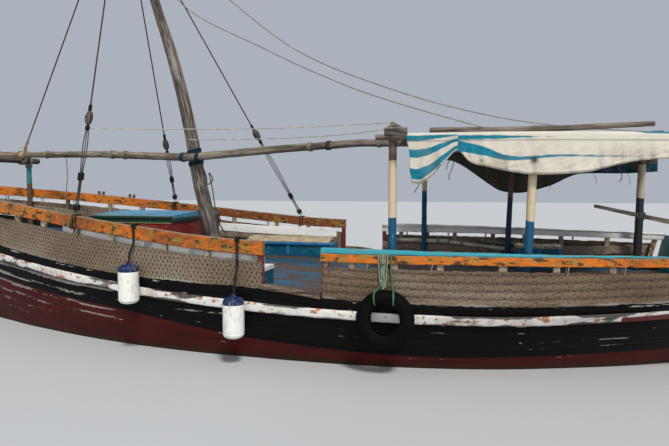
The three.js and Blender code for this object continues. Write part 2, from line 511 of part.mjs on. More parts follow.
// Fenders and a tyre against the port side
const waleFace = byStation((x) => skin(x, waleTop(x)) + WALE.proud);
const reach = (x, half) => Math.max(waleFace(x - half), waleFace(x), waleFace(x + half)) + 0.4;
const FENDERS = [['fender_fore', 316, 850], ['fender_aft', -1004, 565]]; // name, x, middle height
const FENDER = { r: 114, half: 235 };
for (const [name, x, z] of FENDERS) {
  const g = new THREE.LatheGeometry([[0, -FENDER.half], [70, -FENDER.half], [FENDER.r, -FENDER.half + 35],
    [FENDER.r, FENDER.half - 35], [70, FENDER.half], [0, FENDER.half]].map(([r, h]) => new THREE.Vector2(r, h)), 20);
  g.rotateX(Math.PI / 2).translate(x, waleFace(x) + 0.4 + FENDER.r, z);
  add(name, g, 'white');
}
const TYRE = { x: -2620, z: 620, r: 290, hole: 150, half: 88 };
const tread = [[TYRE.hole, -60], [TYRE.hole + 70, -TYRE.half], [TYRE.r - 25, -TYRE.half + 8], [TYRE.r, -55],
  [TYRE.r, 55], [TYRE.r - 25, TYRE.half - 8], [TYRE.hole + 70, TYRE.half], [TYRE.hole, 60]];
const tyre = new THREE.LatheGeometry([...tread, tread[0]].map(([r, h]) => new THREE.Vector2(r, h)), 28);
tyre.translate(TYRE.x, reach(TYRE.x, 200) + TYRE.half, TYRE.z);
add('tyre', tyre, 'rubber');

// Main stays from the masthead: to the yard at the crutch, and to the rails
const STAY_R = 9;
const mastAt = (z) => {
  const i = MAST.findIndex((row) => row[2] >= z);
  const t = (z - MAST[i - 1][2]) / (MAST[i][2] - MAST[i - 1][2]);
  return MAST[i].map((v, k) => MAST[i - 1][k] * (1 - t) + v * t);
};
const aloft = (z, dx, side) => [mastAt(z)[0] + dx, side * (mastAt(z)[3] + STAY_R - 0.7), z];
const onRail = (x, side) => [x, side * (halfBeam(x) - 30), railFore(x) + 5.2];
const LASHING = yardAt(4000);
const STAYS = [
  ['forestay', [mastAt(6230)[0] + mastAt(6230)[3] + STAY_R, 0, 6230],
    [LASHING[0], LASHING[1], LASHING[2] + LASHING[3] + 5.5]],
  ['shroud_port', aloft(6180, 0, 1), onRail(1230, 1)],
  ['shroud_starboard_fore', aloft(6240, 4, -1), onRail(1740, -1)],
  ['shroud_starboard_aft', aloft(6120, -4, -1), onRail(-510, -1)],
]; // name, upper end, lower end
for (const [name, high, low] of STAYS) add(name, log([[...high, STAY_R], [...low, STAY_R]], 8), 'rope');

export default boat;
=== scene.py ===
"""The looks of a wooden dhow afloat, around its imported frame. Metres, +X to the bow, +Y to port, +Z up."""

import logging
import math
import zlib
from collections import defaultdict
from dataclasses import dataclass, field
from enum import Enum
from functools import partialmethod
from typing import Any, Callable, ClassVar, Sequence

import bmesh
import bpy
import numpy as np
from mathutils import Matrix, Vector


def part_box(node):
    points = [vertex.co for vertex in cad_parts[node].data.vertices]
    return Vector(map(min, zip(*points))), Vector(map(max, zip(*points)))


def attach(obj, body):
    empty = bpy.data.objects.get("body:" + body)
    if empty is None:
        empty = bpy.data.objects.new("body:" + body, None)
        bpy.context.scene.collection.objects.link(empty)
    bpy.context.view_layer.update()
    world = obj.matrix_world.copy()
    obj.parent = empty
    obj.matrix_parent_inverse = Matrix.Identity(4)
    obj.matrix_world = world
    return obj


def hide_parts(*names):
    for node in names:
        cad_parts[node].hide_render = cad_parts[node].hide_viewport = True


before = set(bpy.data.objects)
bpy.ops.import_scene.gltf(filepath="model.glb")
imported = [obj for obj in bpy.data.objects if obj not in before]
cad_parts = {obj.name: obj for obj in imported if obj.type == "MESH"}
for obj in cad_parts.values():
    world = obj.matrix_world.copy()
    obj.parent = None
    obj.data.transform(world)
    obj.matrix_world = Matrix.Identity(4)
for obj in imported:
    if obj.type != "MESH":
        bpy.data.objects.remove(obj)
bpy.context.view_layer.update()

LOG = logging.getLogger("dhow")
TURN = 2 * math.pi
Array = np.ndarray
Colour = tuple[float, float, float]
Point = Sequence[float]
Table = tuple[tuple[float, ...], ...]
VALUES = ("tone", "wear", "line")  # the float attributes that every piece's mesh carries
UPRIGHT_REF = (1, 0, 0)  # the frames' reference for a path that stands upright
LOG_STEP = 0.07  # distance between a log's rings
WAVES = 7  # plane waves in a ripple
STRANDS = 3  # strands of a laid rope
PAIRS = ("fore", "middle", "aft")  # the awning's pairs of posts
PLAIT = 0.078  # height of a plait in the after mats
CLOTH_THICK = 0.003


class Side(Enum):
    """A side of the boat, with the sign of its Y."""

    PORT = 1
    STARBOARD = -1

    @property
    def word(self) -> str:
        """The side's name as the nodes spell it."""
        return self.name.lower()


# Curves and noise, worked out on whole arrays
def seeded(name: str) -> np.random.Generator:
    """A random generator that depends only on a name."""
    return np.random.default_rng(zlib.crc32(name.encode()))


def unit(v: Array) -> Array:
    """Vectors scaled to length 1 along the last axis."""
    return v / np.maximum(np.linalg.norm(v, axis=-1, keepdims=True), 1e-12)


def spread(*parts: Any) -> Array:
    """Numbers and arrays spread to one shape and stacked along a new last axis."""
    return np.stack(np.broadcast_arrays(*parts), -1)


def run(start: float, end: float, step: float, least: int = 2) -> Array:
    """Positions from start to end, about a step apart."""
    return np.linspace(start, end, max(int((end - start) / step), least))


def smooth(knots: Any, values: Any, at: Any) -> Array:
    """A cubic through the knots whose slope at each knot joins its two neighbours; flat beyond the ends.

    Args:
        knots: rising positions (k,).
        values: a value or row of values a knot (k, ...).
        at: where to read the curve (n,).
    Returns:
        The values there (n, ...).
    """
    knots, values, at = (np.asarray(a, float) for a in (knots, values, at))
    last = len(knots) - 1
    tail = (1,) * (values.ndim - 1)
    fore, aft = np.minimum(np.arange(last + 1) + 1, last), np.maximum(np.arange(last + 1) - 1, 0)
    slope = (values[fore] - values[aft]) / (knots[fore] - knots[aft]).reshape(-1, *tail)
    i = np.clip(np.searchsorted(knots, at, side="right") - 1, 0, last - 1)
    step = np.reshape(knots[i + 1] - knots[i], (*at.shape, *tail))
    t = np.clip(np.reshape(at - knots[i], step.shape) / step, 0, 1)
    rise, fall = (t**3 - 2 * t**2 + t) * step * slope[i], (t**3 - t**2) * step * slope[i + 1]
    return (2 * t**3 - 3 * t**2 + 1) * values[i] + rise + (3 * t**2 - 2 * t**3) * values[i + 1] + fall


def length_along(path: Array) -> Array:
    """Distance from the start of a path to each of its points."""
    return np.r_[0, np.cumsum(np.linalg.norm(np.diff(path, axis=0), axis=1))]


def curve(points: Any, count: int) -> Array:
    """Rows spaced evenly along the smooth curve through a few; the first three columns are x, y and z.

    Args:
        points: rows of x, y, z and what goes with them.
        count: how many rows to make.
    Returns:
        The rows (count, ...).
    """
    rows = np.asarray(points, float)
    reach = length_along(rows[:, :3])
    return smooth(reach, rows, np.linspace(0, reach[-1], count))


def ease(value: Any, low: float, high: float) -> Array:
    """0 below low, 1 above high and a smooth S between them."""
    t = np.clip((np.asarray(value, float) - low) / (high - low), 0, 1)
    return t * t * (3 - 2 * t)


def bump(value: Any, centre: Any, width: float) -> Array:
    """A bell of height 1 round a centre."""
    return np.exp(-(((np.asarray(value, float) - centre) / width) ** 2))


def ripple(rng: np.random.Generator, points: Array, size: float, amount: float) -> Array:
    """Smooth noise in space: a sum of plane waves with random directions and phases.

    Args:
        rng: source of the directions and phases.
        points: where to read it (..., k).
        size: about how far apart its hills are.
        amount: its usual height.
    Returns:
        The noise (...).
    """
    wave = rng.normal(0, TURN / size, (WAVES, points.shape[-1]))
    phase = rng.uniform(0, TURN, WAVES)
    return amount * math.sqrt(2 / WAVES) * np.sin(points @ wave.T + phase).sum(-1)


def line_ripple(rng: np.random.Generator, at: Array, size: float, amount: float) -> Array:
    """The same noise along a line of positions."""
    return ripple(rng, spread(at, 0 * at), size, amount)


def frames(path: Array, ref: Point | None = None) -> tuple[Array, Array, Array]:
    """Direction, side and up along a path: side = ref x direction, up = direction x side.

    Args:
        path: the points (n, 3).
        ref: a vector that is never along the path; without one the axis that stays furthest from it.
    Returns:
        Three arrays of unit vectors (n, 3).
    """
    along = unit(np.gradient(path, axis=0))
    if ref is None:
        ref = np.eye(3)[np.abs(along).max(0).argmin()]
    side = unit(np.cross(np.asarray(ref, float), along))
    return along, side, np.cross(along, side)


def sweep(path: Array, section: Array, ref: Point | None = None) -> Array:
    """Carries an outline along a path: point = path + side * a + up * b for each (a, b) of the outline.

    Args:
        path: the line (n, 3).
        section: one outline (m, 2), or one a point (n, m, 2).
        ref: as in frames.
    Returns:
        The grid of points (n, m, 3).
    """
    section = np.broadcast_to(section, (len(path), *np.shape(section)[-2:]))
    _, side, up = frames(path, ref)
    return path[:, None] + side[:, None] * section[..., :1] + up[:, None] * section[..., 1:]


def circle(radius: float, sides: int) -> Array:
    """A ring of points in the plane (sides, 2)."""
    angle = np.arange(sides) * TURN / sides
    return radius * spread(np.cos(angle), np.sin(angle))


def chamfered(width: float, height: float, cut: float = 0.006) -> Array:
    """The outline of a bar with cut corners, eight points round its middle.

    Args:
        width: its size across.
        height: its size up.
        cut: size of the cut corners.
    Returns:
        The points (8, 2).
    """
    a, b = width / 2, height / 2
    corner = np.array([[-a, -b + cut], [-a + cut, -b], [a - cut, -b], [a, -b + cut]])
    return np.concatenate([corner, -corner])


def measure(points: Array, wrap: bool) -> Array:
    """A UV in metres for a grid: u round the middle row, v along the line through the rows' middles.

    Args:
        points: the grid (n, m, 3).
        wrap: whether each ring closes.
    Returns:
        The UV (n, m, 2), or (n, m + 1, 2) where each ring closes.
    """
    ring = points[len(points) // 2]
    ring = np.vstack([ring, ring[:1]]) if wrap else ring
    return spread(length_along(ring)[None], length_along(points.mean(1))[:, None])


class Shape:
    """Gathers grids of points into one mesh, with a UV map in metres and the attributes in VALUES."""

    def __init__(self) -> None:
        """An empty shape."""
        self.rows: dict[str, list[Array]] = defaultdict(list)
        self.ends: list[list[int]] = []
        self.count = 0

    def joined(self, *names: str) -> Array:
        """The arrays gathered under some names, one after another."""
        return np.concatenate([row for name in names for row in self.rows[name]])

    def grid(self, points: Array, wrap: bool = False,
            caps: bool = False, uv: Array | None = None, part: int = 0, **values: Any) -> "Shape":
        """Adds the surface through a grid of points.

        Args:
            points: one ring or row after another (n, m, 3).
            wrap: joins each ring's last point to its first.
            caps: closes the first and the last ring.
            uv: (n, m, 2), or (n, m + 1, 2) with wrap; measured if left out.
            part: which of the piece's finishes it takes.
            values: tone, wear or line, each a number or an array that spreads to (n, m).
        Returns:
            The shape itself.
        """
        n, m = points.shape[:2]
        uv = measure(points, wrap) if uv is None else uv
        index = self.count + np.arange(n)[:, None] * m + np.arange(m + wrap) % m
        first, second = slice(None, -1), slice(1, None)
        around = ((first, first), (first, second), (second, second), (second, first))
        quads = np.stack([index[c] for c in around], -1).reshape(-1, 4)
        added = {"point": points.reshape(-1, 3), "quad": quads,
            "part": np.full(len(quads), part), "uv": np.stack([uv[c] for c in around], -2).reshape(-1, 2)}
        for name in VALUES:
            added[name] = np.broadcast_to(values.get(name, 0.0), (n, m)).ravel()
        for name, row in added.items():
            self.rows[name].append(row)
        for row in (0, n - 1) if caps else ():
            self.ends.append((self.count + row * m + np.arange(m)).tolist())
            self.rows["end_uv"].append(uv[row, :m] * (1, 0) + (0, float(uv[row, 0, 1])))
            self.rows["end_part"].append(np.array([part]))
        self.count += n * m
        return self

    def tube(self, points: Array, **values: Any) -> "Shape":
        """Adds a closed body through rings of points."""
        return self.grid(points, wrap=True, caps=True, **values)

    def bar(self, path: Any, width: float, height: float,
            ref: Point | None = (0, 0, 1), cut: float = 0.006, rough: float = 0.0, **values: Any) -> "Shape":
        """Adds a bar with cut corners along a path.

        Args:
            path: points on its middle line.
            width: its size along the frame's side.
            height: its size along the frame's up.
            ref: as in frames.
            cut: size of the cut corners.
            rough: how far its faces wander.
            values: as in grid.
        Returns:
            The shape itself.
        """
        line = np.asarray(path, float)
        points = sweep(line, chamfered(width, height, cut), ref)
        if rough:
            rng = seeded(f"{line[0].round(3)}{width}{height}")
            points = points + np.stack([ripple(rng, points, 0.35, rough) for _ in range(3)], -1)
        return self.tube(points, **values)

    def make(self, name: str, finishes: Any, slot: str, body: str = "boat",
            replaces: Sequence[str] = (), sharp: float = 38, closed: bool = True) -> bpy.types.Object:
        """Turns what was gathered into a piece that rides on a body.

        Args:
            name: the piece's name.
            finishes: its finish, or several in the order of the grids' parts.
            slot: the record's slot; not used.
            body: the body that it rides on.
            replaces: the nodes that it stands for.
            sharp: edges that turn further than this stay crisp, in degrees.
            closed: turns its faces out.
        Returns:
            The object.
        """
        mesh = bpy.data.meshes.new(name)
        mesh.from_pydata(self.joined("point").tolist(), [], self.joined("quad").tolist() + self.ends)
        layer = mesh.uv_layers.new(name="UVMap")
        layer.data.foreach_set("uv", self.joined("uv", "end_uv").astype(np.float32).ravel())
        for key in VALUES:
            attribute = mesh.attributes.new(key, "FLOAT", "POINT")
            attribute.data.foreach_set("value", self.joined(key).astype(np.float32))
        for finish in finishes if isinstance(finishes, (list, tuple)) else [finishes]:
            mesh.materials.append(finish.material())
        mesh.polygons.foreach_set("material_index", self.joined("part", "end_part").astype(np.int32))
        mesh.polygons.foreach_set("use_smooth", np.ones(len(mesh.polygons), bool))
        if closed:
            face_out(mesh)
        mesh.update()
        mesh.set_sharp_from_angle(angle=math.radians(sharp))
        piece = bpy.data.objects.new(name, mesh)
        bpy.context.scene.collection.objects.link(piece)
        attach(piece, body)
        if replaces:
            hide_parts(*replaces)
        LOG.info("%s: %d faces", name, len(mesh.polygons))
        return piece


def face_out(mesh: bpy.types.Mesh, weld: bool = False) -> None:
    """Turns a closed mesh's faces out.

    Args:
        mesh: the mesh.
        weld: merges doubled points first, so that a seam closes.
    """
    made = bmesh.new()
    made.from_mesh(mesh)
    if weld:
        bmesh.ops.remove_doubles(made, verts=made.verts, dist=1e-5)
    bmesh.ops.recalc_face_normals(made, faces=made.faces)
    made.to_mesh(mesh)
    made.free()


# Shader nodes
def operator(operation: str, flip: bool = False) -> Callable[["Sock", Any], "Sock"]:
    """An operator's method: a Math node of the two operands, the other one first with flip."""
    return lambda sock, other: sock.tree.math(operation, *((other, sock) if flip else (sock, other)))


class Sock:
    """A socket in a shader expression. Its operators add Math nodes."""

    def __init__(self, tree: "Tree", socket: Any) -> None:
        """Wraps an output socket of a tree."""
        self.tree, self.socket = tree, socket

    __add__ = __radd__ = operator("ADD")
    __mul__ = __rmul__ = operator("MULTIPLY")
    __sub__ = operator("SUBTRACT")
    __rsub__ = operator("SUBTRACT", True)
    __truediv__ = operator("DIVIDE")
    __pow__ = operator("POWER")

    def __abs__(self) -> "Sock":
        """The value without its sign."""
        return self.tree.math("ABSOLUTE", self)

    def sine(self) -> "Sock":
        """The sine of the value."""
        return self.tree.math("SINE", self)

    def step(self, low: float, high: float) -> "Sock":
        """0 below low, 1 above high and a smooth S between them."""
        inputs = {"Value": self, "From Min": low, "From Max": high}
        return self.tree.out(self.tree.node("MapRange", inputs, interpolation_type="SMOOTHSTEP"))


class Tree:
    """One material's nodes."""

    def __init__(self, name: str) -> None:
        """A material with an empty tree.

        Args:
            name: the material's name.
        """
        self.material = bpy.data.materials.new(name)
        self.material.use_nodes = True
        self.nodes = self.material.node_tree.nodes
        self.nodes.clear()

    def node(self, kind: str, inputs: dict[Any, Any] | None = None, **settings: Any) -> Any:
        """Adds a node.

        Args:
            kind: the node's type without its ShaderNode prefix.
            inputs: values or Socks by the socket's name or number.
            settings: the node's own settings, which are set first.
        Returns:
            The node.
        """
        made = self.nodes.new("ShaderNode" + kind)
        for key, value in settings.items():
            setattr(made, key, value)
        for key, value in (inputs or {}).items():
            if isinstance(value, Sock):
                self.material.node_tree.links.new(value.socket, made.inputs[key])
            else:
                wide = isinstance(value, tuple) and made.inputs[key].type == "RGBA"
                made.inputs[key].default_value = (*value, 1.0) if wide else value
        return made

    def out(self, made: Any, key: Any = 0) -> Sock:
        """One of a node's outputs."""
        return Sock(self, made.outputs[key])

    def math(self, operation: str, *values: Any) -> Sock:
        """A Math node."""
        return self.out(self.node("Math", dict(enumerate(values)), operation=operation))

    def place(self) -> Sock:
        """The Object coordinates."""
        return self.out(self.node("TexCoord"), "Object")

    def height(self) -> Sock:
        """The Object coordinates' z."""
        return self.out(self.node("SeparateXYZ", {0: self.place()}), 2)

    def uv(self) -> tuple[Sock, Sock]:
        """The UV map's u and v, in metres."""
        parts = self.node("SeparateXYZ", {0: self.out(self.node("UVMap", uv_map="UVMap"))})
        return self.out(parts, 0), self.out(parts, 1)

    def vector(self, x: Any, y: Any, z: Any = 0.0) -> Sock:
        """A vector from three values."""
        return self.out(self.node("CombineXYZ", {0: x, 1: y, 2: z}))

    def attribute(self, name: str) -> Sock:
        """One of the attributes in VALUES."""
        return self.out(self.node("Attribute", attribute_name=name), "Fac")

    tone = property(lambda tree: tree.attribute("tone"))
    wear = property(lambda tree: tree.attribute("wear"))
    line = property(lambda tree: tree.attribute("line"))

    def noise(self, scale: float, detail: float = 3,
            stretch: Point = (1, 1, 1), at: Sock | None = None, shift: float = 0.0) -> Sock:
        """Fractal noise from 0 to 1, about 0.5.

        Args:
            scale: hills for each metre.
            detail: octaves.
            stretch: scale of each axis; below 1 draws the hills out along it.
            at: coordinates; the Object coordinates if left out.
            shift: moves the pattern, so that two noises differ.
        Returns:
            The noise.
        """
        inputs = {"Vector": at or self.place(), "Scale": tuple(stretch), "Location": (shift,) * 3}
        moved = self.out(self.node("Mapping", inputs))
        return self.out(self.node("TexNoise", {"Vector": moved, "Scale": scale, "Detail": detail}))

    def mix(self, share: Any, first: Any, second: Any) -> Sock:
        """A colour between two colours."""
        return self.out(self.node("Mix", {0: share, 6: first, 7: second}, data_type="RGBA"), 2)

    def tint(self, share: Any, colour: Colour, low: float, high: float = 1.0) -> Sock:
        """A colour made darker or lighter by two factors, the second one where the share is 1."""
        return self.mix(share, shade(colour, low), shade(colour, high))

    def layers(self, colour: Any, *coats: tuple[Any, Any]) -> Sock:
        """A colour under coats of others, each given as its share and its colour.

        Args:
            colour: the colour below.
            coats: the coats, from the lowest up.
        Returns:
            The colour on top.
        """
        for share, coat in coats:
            colour = self.mix(share, colour, coat)
        return colour

    def surface(self, colour: Any,
            roughness: Any, height: Sock | None = None, depth: float = 0.004, **fixed: Any) -> None:
        """Ends the tree in a Principled shader.

        Args:
            colour: base colour.
            roughness: a number or a Sock.
            height: drives a Bump node.
            depth: the bump's distance in metres.
            fixed: values for other sockets, with _ for a space.
        """
        inputs = {"Base Color": colour, "Roughness": roughness, "Specular IOR Level": 0.2}
        if height is not None:
            made = self.node("Bump", {"Height": height, "Distance": depth, "Strength": 0.9})
            inputs["Normal"] = self.out(made)
        inputs.update({key.replace("_", " "): value for key, value in fixed.items()})
        self.node("OutputMaterial", {0: self.out(self.node("BsdfPrincipled", inputs))})


class Grain(Enum):
    """The way timber grain runs, as the stretch of its noise on Object coordinates."""

    ALONG = (0.06, 1, 1)
    ACROSS = (1, 0.06, 1)
    UPRIGHT = (1, 1, 0.06)
    MAPPED = (1, 0.05, 1)  # along the UV map's v


class Finish:
    """A finish that makes its material once."""

    made: ClassVar[dict[Any, bpy.types.Material]] = {}

    def material(self) -> bpy.types.Material:
        """Makes the material at its first use.

        Returns:
            The finish's material.
        """
        if self not in Finish.made:
            tree = Tree(self.name)
            self.build(tree)
            Finish.made[self] = tree.material
        return Finish.made[self]

    def build(self, tree: Tree) -> None:
        """Adds the finish's nodes."""
        raise NotImplementedError

    def fibre(self, tree: Tree, grain: Grain) -> tuple[Sock, Sock]:
        """Fine streaks along the grain, and slow bands of light and dark.

        Args:
            tree: takes the nodes.
            grain: the way they run.
        Returns:
            The streaks and the bands.
        """
        at = None
        if grain is Grain.MAPPED:
            u, v = tree.uv()
            at = tree.vector(u + tree.tone * 7.3, v)
        slow = tree.noise(7, 3, tuple(max(s, 0.18) for s in grain.value), at, 3.1)
        return tree.noise(95, 4, grain.value, at), slow


# Finishes
def shade(colour: Colour, factor: float) -> Colour:
    """A colour made lighter or darker."""
    return tuple(min(c * factor, 1.0) for c in colour)


@dataclass(frozen=True)
class Painted(Finish):
    """Brush paint on timber, rubbed through to grey-brown wood where 'wear' and the grain say so."""

    name: str
    paint: Colour
    wood: Colour = (0.25, 0.2, 0.15)
    second: Colour | None = None  # an older coat that shows in patches
    wear: float = 0.3
    grain: Grain = Grain.ALONG

    def build(self, tree: Tree) -> None:
        """Paint varied by slow patches, a second coat, worn wood with its grain, and grime.

        Args:
            tree: takes the nodes.
        """
        fine, slow = self.fibre(tree, self.grain)
        patch, chips = tree.noise(2.3, 4, shift=self.wear * 9), tree.noise(26, 5, shift=1.7)
        paint = tree.tint(slow, self.paint, 0.62, 1.3)
        if self.second:
            older = (patch * 0.6 + chips * 0.4).step(0.49, 0.56)
            paint = tree.mix(older, paint, tree.tint(fine, self.second, 0.7, 1.25))
        rubbed = chips * 0.45 + fine * 0.35 + patch * 0.3 + tree.wear * 0.5 + self.wear * 0.4
        worn = rubbed.step(0.7, 0.79)
        grime = tree.noise(5, 6, shift=6.3).step(0.56, 0.8)
        colour = tree.layers(paint, (worn, tree.tint(fine, self.wood, 0.45, 1.5)),
            (tree.tone * 0.35, shade(self.wood, 0.35)), (grime * 0.55, (0.045, 0.036, 0.028)))
        height = fine * 0.5 + chips * 0.2 + (1 - worn) * 0.35
        tree.surface(colour, worn * 0.3 + slow * 0.15 + 0.375, height, 0.0035)


@dataclass(frozen=True)
class HullPaint(Finish):
    """Black topsides over dark red bottom paint, scraped pale along the seams."""

    name: str = "hull_black"
    top: Colour = (0.002, 0.002, 0.0024)
    bottom: Colour = (0.055, 0.007, 0.007)
    bare: Colour = (0.48, 0.45, 0.4)

    def build(self, tree: Tree) -> None:
        """'line' is the height above the bottom paint, 'wear' how near a scraped seam is.

        Args:
            tree: takes the nodes.
        """
        fine, slow = self.fibre(tree, Grain.ALONG)
        dashes = tree.noise(5, 7, (1.1, 0.6, 4.5), shift=2.2)
        grit = tree.noise(38, 5, (0.3, 1, 1.6))
        scraped = (tree.wear * 0.5 + dashes * 0.5 + grit * 0.55).step(0.82, 0.88)
        under = (tree.line + (slow - 0.5) * 0.012).step(-0.004, 0.004)
        red = tree.tint(tree.noise(4, 5, (0.3, 1, 1)), self.bottom, 0.4, 1.9)
        black = tree.tint(tree.tone * 0.5 + grit * 0.5, self.top, 0.5, 2.6)
        # darker and greener below 0.1 m above the waterline
        waterline_dark = (1 - (tree.height() + (tree.noise(6, 5) - 0.5) * 0.12).step(0.0, 0.1)) * 0.7
        colour = tree.layers(red, (under, black),
            (scraped * 0.85, tree.tint(fine, self.bare, 0.25)), (waterline_dark, (0.02, 0.024, 0.012)))
        height = fine * 0.35 + grit * 0.3 - scraped * 0.4
        tree.surface(colour, scraped * 0.3 + grit * 0.25 + 0.45, height, 0.004, Specular_IOR_Level=0.08)


@dataclass(frozen=True)
class WalePaint(Finish):
    """White paint with rusty runs from its spikes and black scuffs; dark red where 'line' is above 0."""

    name: str = "wale_white"
    white: Colour = (0.8, 0.79, 0.75)
    rust: Colour = (0.3, 0.115, 0.035)
    fresh: Colour = (0.62, 0.2, 0.02)
    red: Colour = (0.11, 0.016, 0.014)

    def build(self, tree: Tree) -> None:
        """Runs are noise drawn out upright, scuffs noise drawn out along the plank.

        Args:
            tree: takes the nodes.
        """
        fine, slow = self.fibre(tree, Grain.ALONG)
        runs = tree.noise(9, 4, (1, 1, 0.1), shift=4.0) * 0.6 + tree.noise(2.0, 3) * 0.5
        spots = tree.noise(13, 5, (0.6, 1, 1), shift=8.0).step(0.585, 0.645)
        scuff = tree.noise(7, 6, (0.25, 1, 1), shift=1.0) + tree.wear * 0.12
        scuff = scuff.step(0.57, 0.64)
        low = (tree.line + (fine - 0.5) * 0.01).step(-0.003, 0.003)
        colour = tree.layers(tree.tint(slow, self.white, 0.72), (runs.step(0.55, 0.7) * 0.35, self.rust),
            (spots * 0.9, tree.mix(slow, shade(self.rust, 0.5), self.fresh)),
            (scuff * 0.9, (0.022, 0.02, 0.018)), (low, tree.tint(slow, self.red, 0.6, 1.7)))
        tree.surface(colour, scuff * 0.3 + slow * 0.2 + 0.35, fine * 0.4 - scuff * 0.4 - spots * 0.3, 0.003)


@dataclass(frozen=True)
class RailVarnish(Finish):
    """Orange-brown oil on a rail, mottled yellow and dark, worn grey-brown where 'wear' is high."""

    name: str = "rail_oil"
    bright: Colour = (0.58, 0.155, 0.016)
    brown: Colour = (0.19, 0.055, 0.018)
    yellow: Colour = (0.33, 0.22, 0.045)
    grey: Colour = (0.22, 0.165, 0.115)

    def build(self, tree: Tree) -> None:
        """'tone' moves the oil from bright orange towards brown.

        Args:
            tree: takes the nodes.
        """
        fine, slow = self.fibre(tree, Grain.ALONG)
        patch = tree.noise(2.6, 5, (0.35, 1, 1), shift=2.0)
        mottle = tree.noise(14, 5, (0.5, 1, 1), shift=5.0)
        share = (tree.tone * 0.8 + (patch - 0.5) * 2.6 + (mottle - 0.5) * 1.6).step(0.1, 0.9)
        spots = (mottle * 0.4 + tree.noise(24, 5, (0.45, 1, 1), shift=7.0) * 0.6).step(0.53, 0.6)
        worn = (tree.wear * 0.75 + fine * 0.35 + mottle * 0.35).step(0.72, 0.92)
        colour = tree.layers(self.bright, (share, self.brown), (mottle.step(0.5, 0.62) * 0.65, self.yellow),
            (fine.step(0.45, 0.75) * 0.6, shade(self.brown, 0.35)),
            (spots * 0.85, (0.022, 0.014, 0.01)), (worn, tree.tint(fine, self.grey, 0.4, 1.6)))
        tree.surface(colour, worn * 0.35 + slow * 0.2 + 0.3, fine * 0.6 + mottle * 0.3, 0.004)


@dataclass(frozen=True)
class Timber(Finish):
    """Bare weathered timber with checks along its grain; 'tone' darkens it."""

    name: str = "bare_timber"
    light: Colour = (0.42, 0.365, 0.3)
    dark: Colour = (0.125, 0.095, 0.072)
    checks: float = 0.5
    grain: Grain = Grain.MAPPED

    def build(self, tree: Tree) -> None:
        """Checks are dark valleys of a noise drawn far out along the grain.

        Args:
            tree: takes the nodes.
        """
        fine, slow = self.fibre(tree, self.grain)
        at = tree.vector(*tree.uv()) if self.grain is Grain.MAPPED else None
        deep = tree.noise(26, 3, tuple(0.035 if s < 1 else 1 for s in self.grain.value), at, 9.0)
        check = (1 - abs(deep - 0.5) * 9).step(0.55, 0.95) * self.checks
        stains = tree.noise(3.5, 5, shift=2.5).step(0.5, 0.72)
        colour = tree.layers(self.dark,
            ((fine * 0.5 + slow * 0.5).step(0.34, 0.64), self.light), (stains * 0.45, shade(self.dark, 0.8)),
            (tree.tone * 0.7, shade(self.dark, 0.5)), (check * 0.9, (0.022, 0.016, 0.012)))
        tree.surface(colour, fine * 0.2 + 0.68, fine * 0.6 + slow * 0.3 - check * 1.4, 0.006)


@dataclass(frozen=True)
class Banded(Finish):
    """An upright log in bands of paint; each band starts at a height."""

    name: str
    bands: tuple[tuple[float, Colour], ...]

    def build(self, tree: Tree) -> None:
        """The bands' edges waver with the noise; chips show the wood.

        Args:
            tree: takes the nodes.
        """
        fine, slow = self.fibre(tree, Grain.UPRIGHT)
        chips = tree.noise(30, 5, (1, 1, 0.5), shift=2.0)
        wander = tree.height() + (tree.noise(9, 3, shift=5.0) - 0.5) * 0.05
        worn = (chips * 0.5 + fine * 0.5 + tree.wear * 0.3).step(0.6, 0.68)
        coats = [(wander.step(start - 0.004, start + 0.004), paint) for start, paint in self.bands[1:]]
        colour = tree.layers(self.bands[0][1], *coats, (slow * 0.22, (0.06, 0.055, 0.05)),
            (worn * 0.85, tree.mix(fine, (0.1, 0.075, 0.055), (0.33, 0.28, 0.22))))
        tree.surface(colour, worn * 0.3 + 0.495, fine * 0.6 - worn * 0.4 + chips * 0.2, 0.004)


class Plait(Enum):
    """How a mat is plaited."""

    ROWS = 1  # fat plaits laid along the boat, one above the other
    TICKS = 2  # a plain coarse weave with small gaps in a slanting lattice


